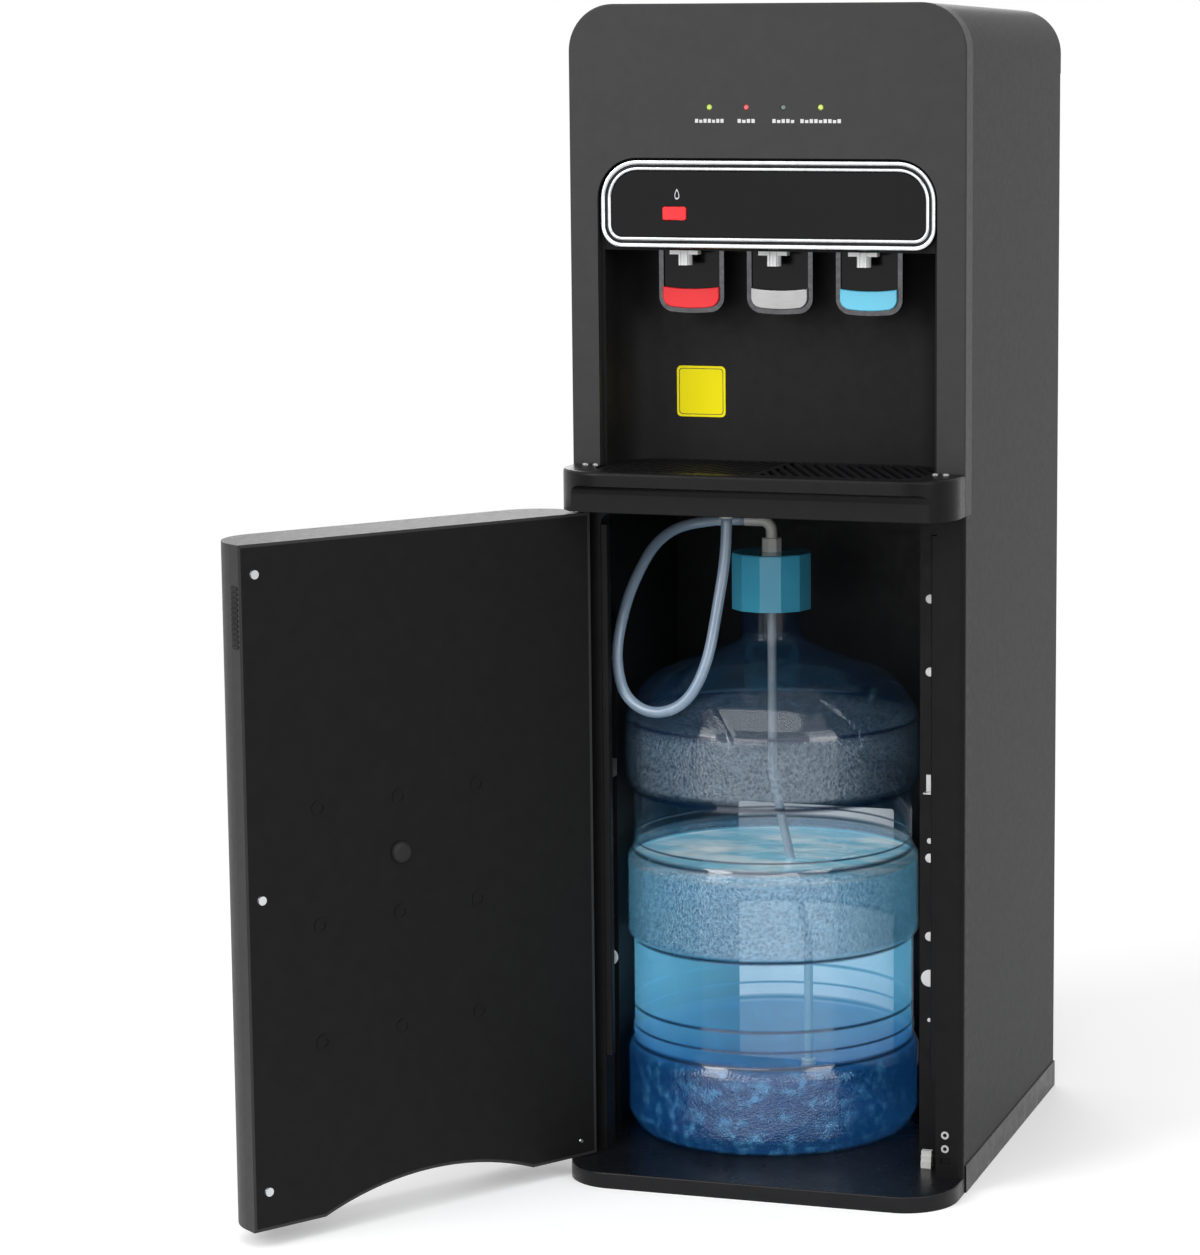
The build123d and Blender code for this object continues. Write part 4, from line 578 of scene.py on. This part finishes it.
def rounded_line(corners, step=0.002, longest=0.004):
    """Points along a line of corners, each (radius from the axis, height, fillet)."""
    line = []
    for i, (r, z, fillet) in enumerate(corners):
        here = Vector((r, z))
        if fillet <= 0 or i in (0, len(corners) - 1):
            line.append(here)
            continue
        before = Vector(corners[i - 1][:2]) - here
        after = Vector(corners[i + 1][:2]) - here
        angle = before.angle(after)
        reach = min(fillet / tan(angle / 2), 0.49 * before.length, 0.49 * after.length)
        radius = reach * tan(angle / 2)
        start, end = here + before.normalized() * reach, here + after.normalized() * reach
        middle = (before.normalized() + after.normalized()).normalized()
        centre = here + middle * (radius / sin(angle / 2))
        a, b = start - centre, end - centre
        turn = a.angle(b)
        count = max(3, ceil(radius * (pi - angle) / step))
        for k in range(count + 1):
            t = k / count
            line.append(centre + (a * sin((1 - t) * turn) + b * sin(t * turn)) / max(sin(turn), 1e-9))
    dense = [line[0]]
    for point in line[1:]:
        gap = (point - dense[-1]).length
        if gap < 1e-6:
            continue
        pieces = max(1, ceil(gap / longest))
        start = dense[-1].copy()
        for k in range(1, pieces + 1):
            dense.append(start.lerp(point, k / pieces))
    return dense


def ring_pairs(count):
    """Each point of a closed ring with the next one."""
    return [(k, (k + 1) % count) for k in range(count)]


def lathe(name, line, material, body, sides, shift=None):
    """A turned surface round the bottle's axis; shift(angle, r, z) is how far a point moves out."""
    points, faces = [], []
    for point in line:
        for k in range(sides):
            angle = 2 * pi * k / sides
            r = point.x + (shift(angle, point.x, point.y) if shift else 0)
            points.append((BOTTLE_X + r * cos(angle), BOTTLE_Y + r * sin(angle), point.y))
    for i in range(len(line) - 1):
        low, high = i * sides, (i + 1) * sides
        faces += [(low + k, low + n, high + n, high + k) for k, n in ring_pairs(sides)]
    return piece(name, points, faces, material, body)


# ---------------------------------------------------------------- bottle and water
BOTTOM = 0.0143
AXIS_GAP = 0.0005           # the turned surfaces stop just short of their axis
SIDE = (                    # radius, height over the bottom and fillet, in mm
    (90.0, 9.0, 30.0), (104.0, 0.0, 6.0), (123.0, 0.0, 8.0), (131.0, 14.0, 12.0), (131.0, 70.0, 8.0),
    (126.0, 80.0, 5.0), (127.0, 88.0, 3.0), (126.0, 96.0, 3.0), (126.0, 172.0, 4.0),
    (130.5, 177.0, 4.0), (130.5, 244.0, 6.0), (124.5, 254.0, 5.0), (124.5, 304.0, 6.0),
    (132.0, 316.0, 8.0), (132.0, 372.0, 30.0), (112.0, 404.0, 44.0), (58.0, 424.0, 24.0),
    (26.5, 438.0, 8.0),
)
DOME = 0.016                # how far the bottom rises at the axis
NECK_RADIUS, NECK_TOP = 0.0265, 0.494
BOTTLE_WALL = 0.0016
SWIRLS, SWIRL_TURN = 7, 1.1
SWIRL_DEPTH, SWIRL_WIDTH = 0.0026, 0.0045
SWIRL_LOW, SWIRL_HIGH = 0.372, 0.4375
SWIRL_INNER, SWIRL_OUTER = 0.045, 0.130
WATER_LEVEL, WATER_GAP = 0.257, 0.0019      # the gap is from the bottle's outside
SURFACE = WATER_LEVEL - 0.002


def swirl(angle, r, z):
    """Shallow curved grooves that run down the shoulder."""
    if not SWIRL_LOW < z < SWIRL_HIGH:
        return 0.0
    along = (r - SWIRL_INNER) / (SWIRL_OUTER - SWIRL_INNER)
    phase = (angle - SWIRL_TURN * along) * SWIRLS / (2 * pi)
    off = abs(phase - round(phase)) * 2 * pi / SWIRLS * r
    fade = min(1.0, (z - SWIRL_LOW) / 0.012, (SWIRL_HIGH - z) / 0.006)
    return -SWIRL_DEPTH * fade * max(0.0, 1 - (off / SWIRL_WIDTH) ** 2)


def make_bottle():
    corners = [(0.0, BOTTOM + DOME, 0.0)]
    corners += [(r * MM, BOTTOM + z * MM, f * MM) for r, z, f in SIDE]
    corners += [(NECK_RADIUS, NECK_TOP, 0.0)]
    line = rounded_line(corners)
    line[0].x = AXIS_GAP
    bottle = lathe("bottle_shell", line, bottle_blue, "bottle", 220, swirl)
    thick = bottle.modifiers.new("wall", "SOLIDIFY")
    thick.thickness = BOTTLE_WALL
    thick.offset = -1
    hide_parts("bottle")
    return line


def ripple(x, y):
    """Height of the small waves on the water."""
    a = sin(95 * x + 60 * y + 1.3) + 0.7 * sin(-70 * x + 150 * y) + 0.5 * sin(190 * x - 40 * y + 2.1)
    b = 0.6 * sin(260 * hypot(x - 0.03, y + 0.02))
    return 0.0005 * (a + b)


def make_water(line):
    inner = []
    for i, p in enumerate(line):
        if p.y > WATER_LEVEL:
            break
        tangent = (line[min(i + 1, len(line) - 1)] - line[max(i - 1, 0)]).normalized()
        q = p + Vector((-tangent.y, tangent.x)) * WATER_GAP
        if q.x > 0 and q.y < WATER_LEVEL - 0.001:
            inner.append(q)
    inner[0].x = AXIS_GAP
    inner.append(Vector((inner[-1].x, WATER_LEVEL - 0.0006)))
    body = lathe("water_body", inner, water_blue, "bottle", 128)
    rim = inner[-1].x - 0.0003
    rings, sides = 26, 96
    points, faces = [(BOTTLE_X, BOTTLE_Y, SURFACE + ripple(0, 0))], []
    for i in range(1, rings + 1):
        for k in range(sides):
            r, angle = rim * i / rings, 2 * pi * k / sides
            x, y = r * cos(angle), r * sin(angle)
            fade = min(1.0, (1 - i / rings) * 6)
            points.append((BOTTLE_X + x, BOTTLE_Y + y, SURFACE + fade * ripple(x, y)))
    for k, n in ring_pairs(sides):
        faces.append((0, 1 + k, 1 + n))
        for i in range(rings - 1):
            a = 1 + i * sides
            faces.append((a + k, a + sides + k, a + sides + n, a + n))
    top = piece("water_surface", points, faces, water_top, "bottle")
    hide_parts("bottle_water")


make_water(make_bottle())


# ---------------------------------------------------------------- hose
HOSE = (        # from the elbow on the cap, round its loop, up to the fitting in the ceiling
    (-0.061, -0.0425, 0.557), (-0.095, -0.0425, 0.557), (-0.128, -0.0775, 0.548),
    (-0.142, -0.1155, 0.508), (-0.147, -0.1395, 0.466), (-0.145, -0.1495, 0.438),
    (-0.134, -0.1575, 0.412), (-0.107, -0.1635, 0.400), (-0.077, -0.1635, 0.411),
    (-0.062, -0.1505, 0.444), (-0.057, -0.1355, 0.494), (-0.052, -0.1255, 0.541),
    (-0.052, -0.1255, 0.569),
)
HOSE_RADIUS, HOSE_BORE = 0.0048, 0.0032


def nurbs_points(route):
    """Points along a smooth curve that the route's points pull on."""
    curve = bpy.data.curves.new("route", "CURVE")
    curve.dimensions = "3D"
    spline = curve.splines.new("NURBS")
    spline.points.add(len(route) - 1)
    for point, place in zip(spline.points, route):
        point.co = (*place, 1)
    spline.order_u = 3
    spline.use_endpoint_u = True
    spline.resolution_u = 12
    holder = bpy.data.objects.new("route", curve)
    bpy.context.scene.collection.objects.link(holder)
    mesh = bpy.data.meshes.new_from_object(holder)
    points = [v.co.copy() for v in mesh.vertices]
    bpy.data.objects.remove(holder)
    bpy.data.meshes.remove(mesh)
    return points


def tube(name, path, radius, bore, material, sides=20):
    """A hollow tube along a path, open at both ends."""
    points, faces = [], []
    side = None
    for i, p in enumerate(path):
        tangent = (path[min(i + 1, len(path) - 1)] - path[max(i - 1, 0)]).normalized()
        if side is None:
            side = tangent.cross(Vector((0, 1, 0))).normalized()
        side = (side - tangent * side.dot(tangent)).normalized()
        up = tangent.cross(side)
        for size in (radius, bore):
            for k in range(sides):
                angle = 2 * pi * k / sides
                points.append(p + (side * cos(angle) + up * sin(angle)) * size)
    ring = 2 * sides
    for i in range(len(path) - 1):
        a, b = i * ring, (i + 1) * ring
        for k, n in ring_pairs(sides):
            faces.append((a + k, b + k, b + n, a + n))
            faces.append((a + sides + k, a + sides + n, b + sides + n, b + sides + k))
    for start in (0, (len(path) - 1) * ring):
        for k, n in ring_pairs(sides):
            quad = (start + k, start + n, start + sides + n, start + sides + k)
            faces.append(quad if start == 0 else quad[::-1])
    return piece(name, points, faces, material, None)


path = nurbs_points(HOSE)
hose = tube("hose_tube", path, HOSE_RADIUS, HOSE_BORE, hose_milky)
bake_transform(hose)
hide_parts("hose")


# ---------------------------------------------------------------- plated surround
RING_HALF, RING_LOW, RING_HIGH = 0.1465, 0.802, 0.876
RING_RADII = (0.019, 0.033)         # lower and upper corners
RING_SET_BACK = 0.002
BEAD_BACK = 6.3
BEAD = (                            # inset from the outline and depth from the front, in mm
    (0.0, BEAD_BACK), (0.0, 1.6), (0.25, 0.9), (0.8, 0.35), (1.6, 0.05), (2.4, 0.0), (3.2, 0.25),
    (3.9, 0.9), (4.3, 1.9), (4.7, 2.9), (5.3, 3.1), (5.8, 2.6), (6.2, 1.7), (6.8, 1.0), (7.5, 0.7),
    (8.2, 0.75), (8.9, 1.2), (9.4, 2.0), (9.8, 3.2), (9.8, BEAD_BACK),
)


def rounded_rectangle(half, low, high, radii, inset=0.0, centre=0.0, steps=14):
    """An upright rectangle with lower and upper corner radii, drawn in by a distance: (x, z) points."""
    low_radius, high_radius = radii
    out = []
    for side, z, up, radius, turn in (
        (1, high, 1, high_radius, 0), (-1, high, 1, high_radius, 90),
        (-1, low, -1, low_radius, 180), (1, low, -1, low_radius, 270),
    ):
        r = max(radius - inset, 0.0005)
        corner_x, corner_z = centre + side * (half - inset - r), z - up * (inset + r)
        for k in range(steps + 1):
            a = radians(turn + 90 * k / steps)
            out.append((corner_x + r * cos(a), corner_z + r * sin(a)))
    return out


def bead_ring():
    """The plated surround: a broad outer bead, a groove and a slim inner bead."""
    rows = [rounded_rectangle(RING_HALF, RING_LOW, RING_HIGH, RING_RADII, inset * MM) for inset, _ in BEAD]
    front = FRONT + RING_SET_BACK
    points = [(x, front + depth * MM, z) for row, (_, depth) in zip(rows, BEAD) for x, z in row]
    n = len(rows[0])
    faces = []
    for i, j in ring_pairs(len(rows)):
        faces += [(i * n + k, i * n + m, j * n + m, j * n + k) for k, m in ring_pairs(n)]
    ring = piece("chrome_ring", points, faces, bead, "cabinet")
    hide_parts("chrome_frame")


bead_ring()


# ---------------------------------------------------------------- small flat pieces
NOTICE_X, NOTICE_Z = -0.0815, 0.6755
NOTICE_SIZE, NOTICE_LINE = 0.0440, 0.0400
LAMP_ROW = (                        # place, number of marks and width of the caption under each lamp
    (-0.0483, 7, 0.026), (-0.0161, 4, 0.016), (0.0161, 5, 0.020), (0.0483, 9, 0.036),
)
CAPTION_Z, CAPTION_TALL = 0.9083, 0.0032
DROP_X, DROP_Z = -0.0788, 0.8472
PANEL_FACE = FRONT + 0.0045
THIN = 0.0001


def plate(name, outline, y_front, thickness, material, body):
    """An upright plate: the outline is (x, z) points; its front face is at y_front."""
    n = len(outline)
    points = [(x, y, z) for y in (y_front, y_front + thickness) for x, z in outline]
    faces = [tuple(range(n)), tuple(range(2 * n - 1, n - 1, -1))]
    faces += [(k, k + n, m + n, m) for k, m in ring_pairs(n)]
    return piece(name, points, faces, material, body, smooth=False)


def flat_ring(name, outline, centre, inner, y, material):
    """A thin flat ring between an outline and the same outline drawn in towards its centre."""
    cx, cz = centre
    points, faces = [], []
    for depth in (y, y + THIN):
        for size in (1.0, inner):
            points += [(cx + size * (x - cx), depth, cz + size * (z - cz)) for x, z in outline]
    n = len(outline)
    for k, m in ring_pairs(n):
        faces += [(k, m, n + m, n + k), (2 * n + m, 2 * n + k, 3 * n + k, 3 * n + m)]
        faces += [(m, k, 2 * n + k, 2 * n + m), (n + k, n + m, 3 * n + m, 3 * n + k)]
    return piece(name, points, faces, material, "cabinet", smooth=False)


def notice_outline(size, radius):
    half = size / 2
    radii = (radius, radius)
    return rounded_rectangle(half, NOTICE_Z - half, NOTICE_Z + half, radii, centre=NOTICE_X, steps=6)


def notice():
    """A plain yellow plate with a plain border line."""
    outline = notice_outline(NOTICE_SIZE, 0.004)
    plate("notice_plate", outline, NICHE_BACK - 0.0005, 0.0004, yellow, "cabinet")
    line = notice_outline(NOTICE_LINE, 0.003)
    flat_ring("notice_line", line, (NOTICE_X, NOTICE_Z), 0.972, NICHE_BACK - 0.0006, dark_mark)


def caption_marks():
    """A row of short plain bars under each lamp, where a caption sits."""
    points, faces = [], []
    y = FRONT - 0.00012
    z0 = CAPTION_Z - CAPTION_TALL / 2
    for centre, count, width in LAMP_ROW:
        pitch = width / count
        for i in range(count):
            x0 = centre - width / 2 + i * pitch + 0.14 * pitch
            x1 = x0 + 0.72 * pitch
            z1 = z0 + CAPTION_TALL * (0.78 if i % 3 == 1 else 1.0)
            b = len(points)
            for depth in (y, y + THIN):
                points += [(x0, depth, z0), (x1, depth, z0), (x1, depth, z1), (x0, depth, z1)]
            faces += [(b, b + 1, b + 2, b + 3), (b + 7, b + 6, b + 5, b + 4), (b, b + 4, b + 5, b + 1)]
            faces += [(b + 1, b + 5, b + 6, b + 2), (b + 2, b + 6, b + 7, b + 3), (b + 3, b + 7, b + 4, b)]
    marks = piece("caption_marks", points, faces, mark, "cabinet", smooth=False)


def drop_mark(points=28):
    """A small outlined drop over the lock button."""
    turns = [2 * pi * k / points for k in range(points)]
    outline = [(DROP_X + 0.0027 * sin(t) * sin(t / 2), DROP_Z + 0.0045 * cos(t)) for t in turns]
    drop = flat_ring("drop_mark", outline, (DROP_X, DROP_Z - 0.0006), 0.72, PANEL_FACE - 0.00015, mark)


notice()
caption_marks()
drop_mark()
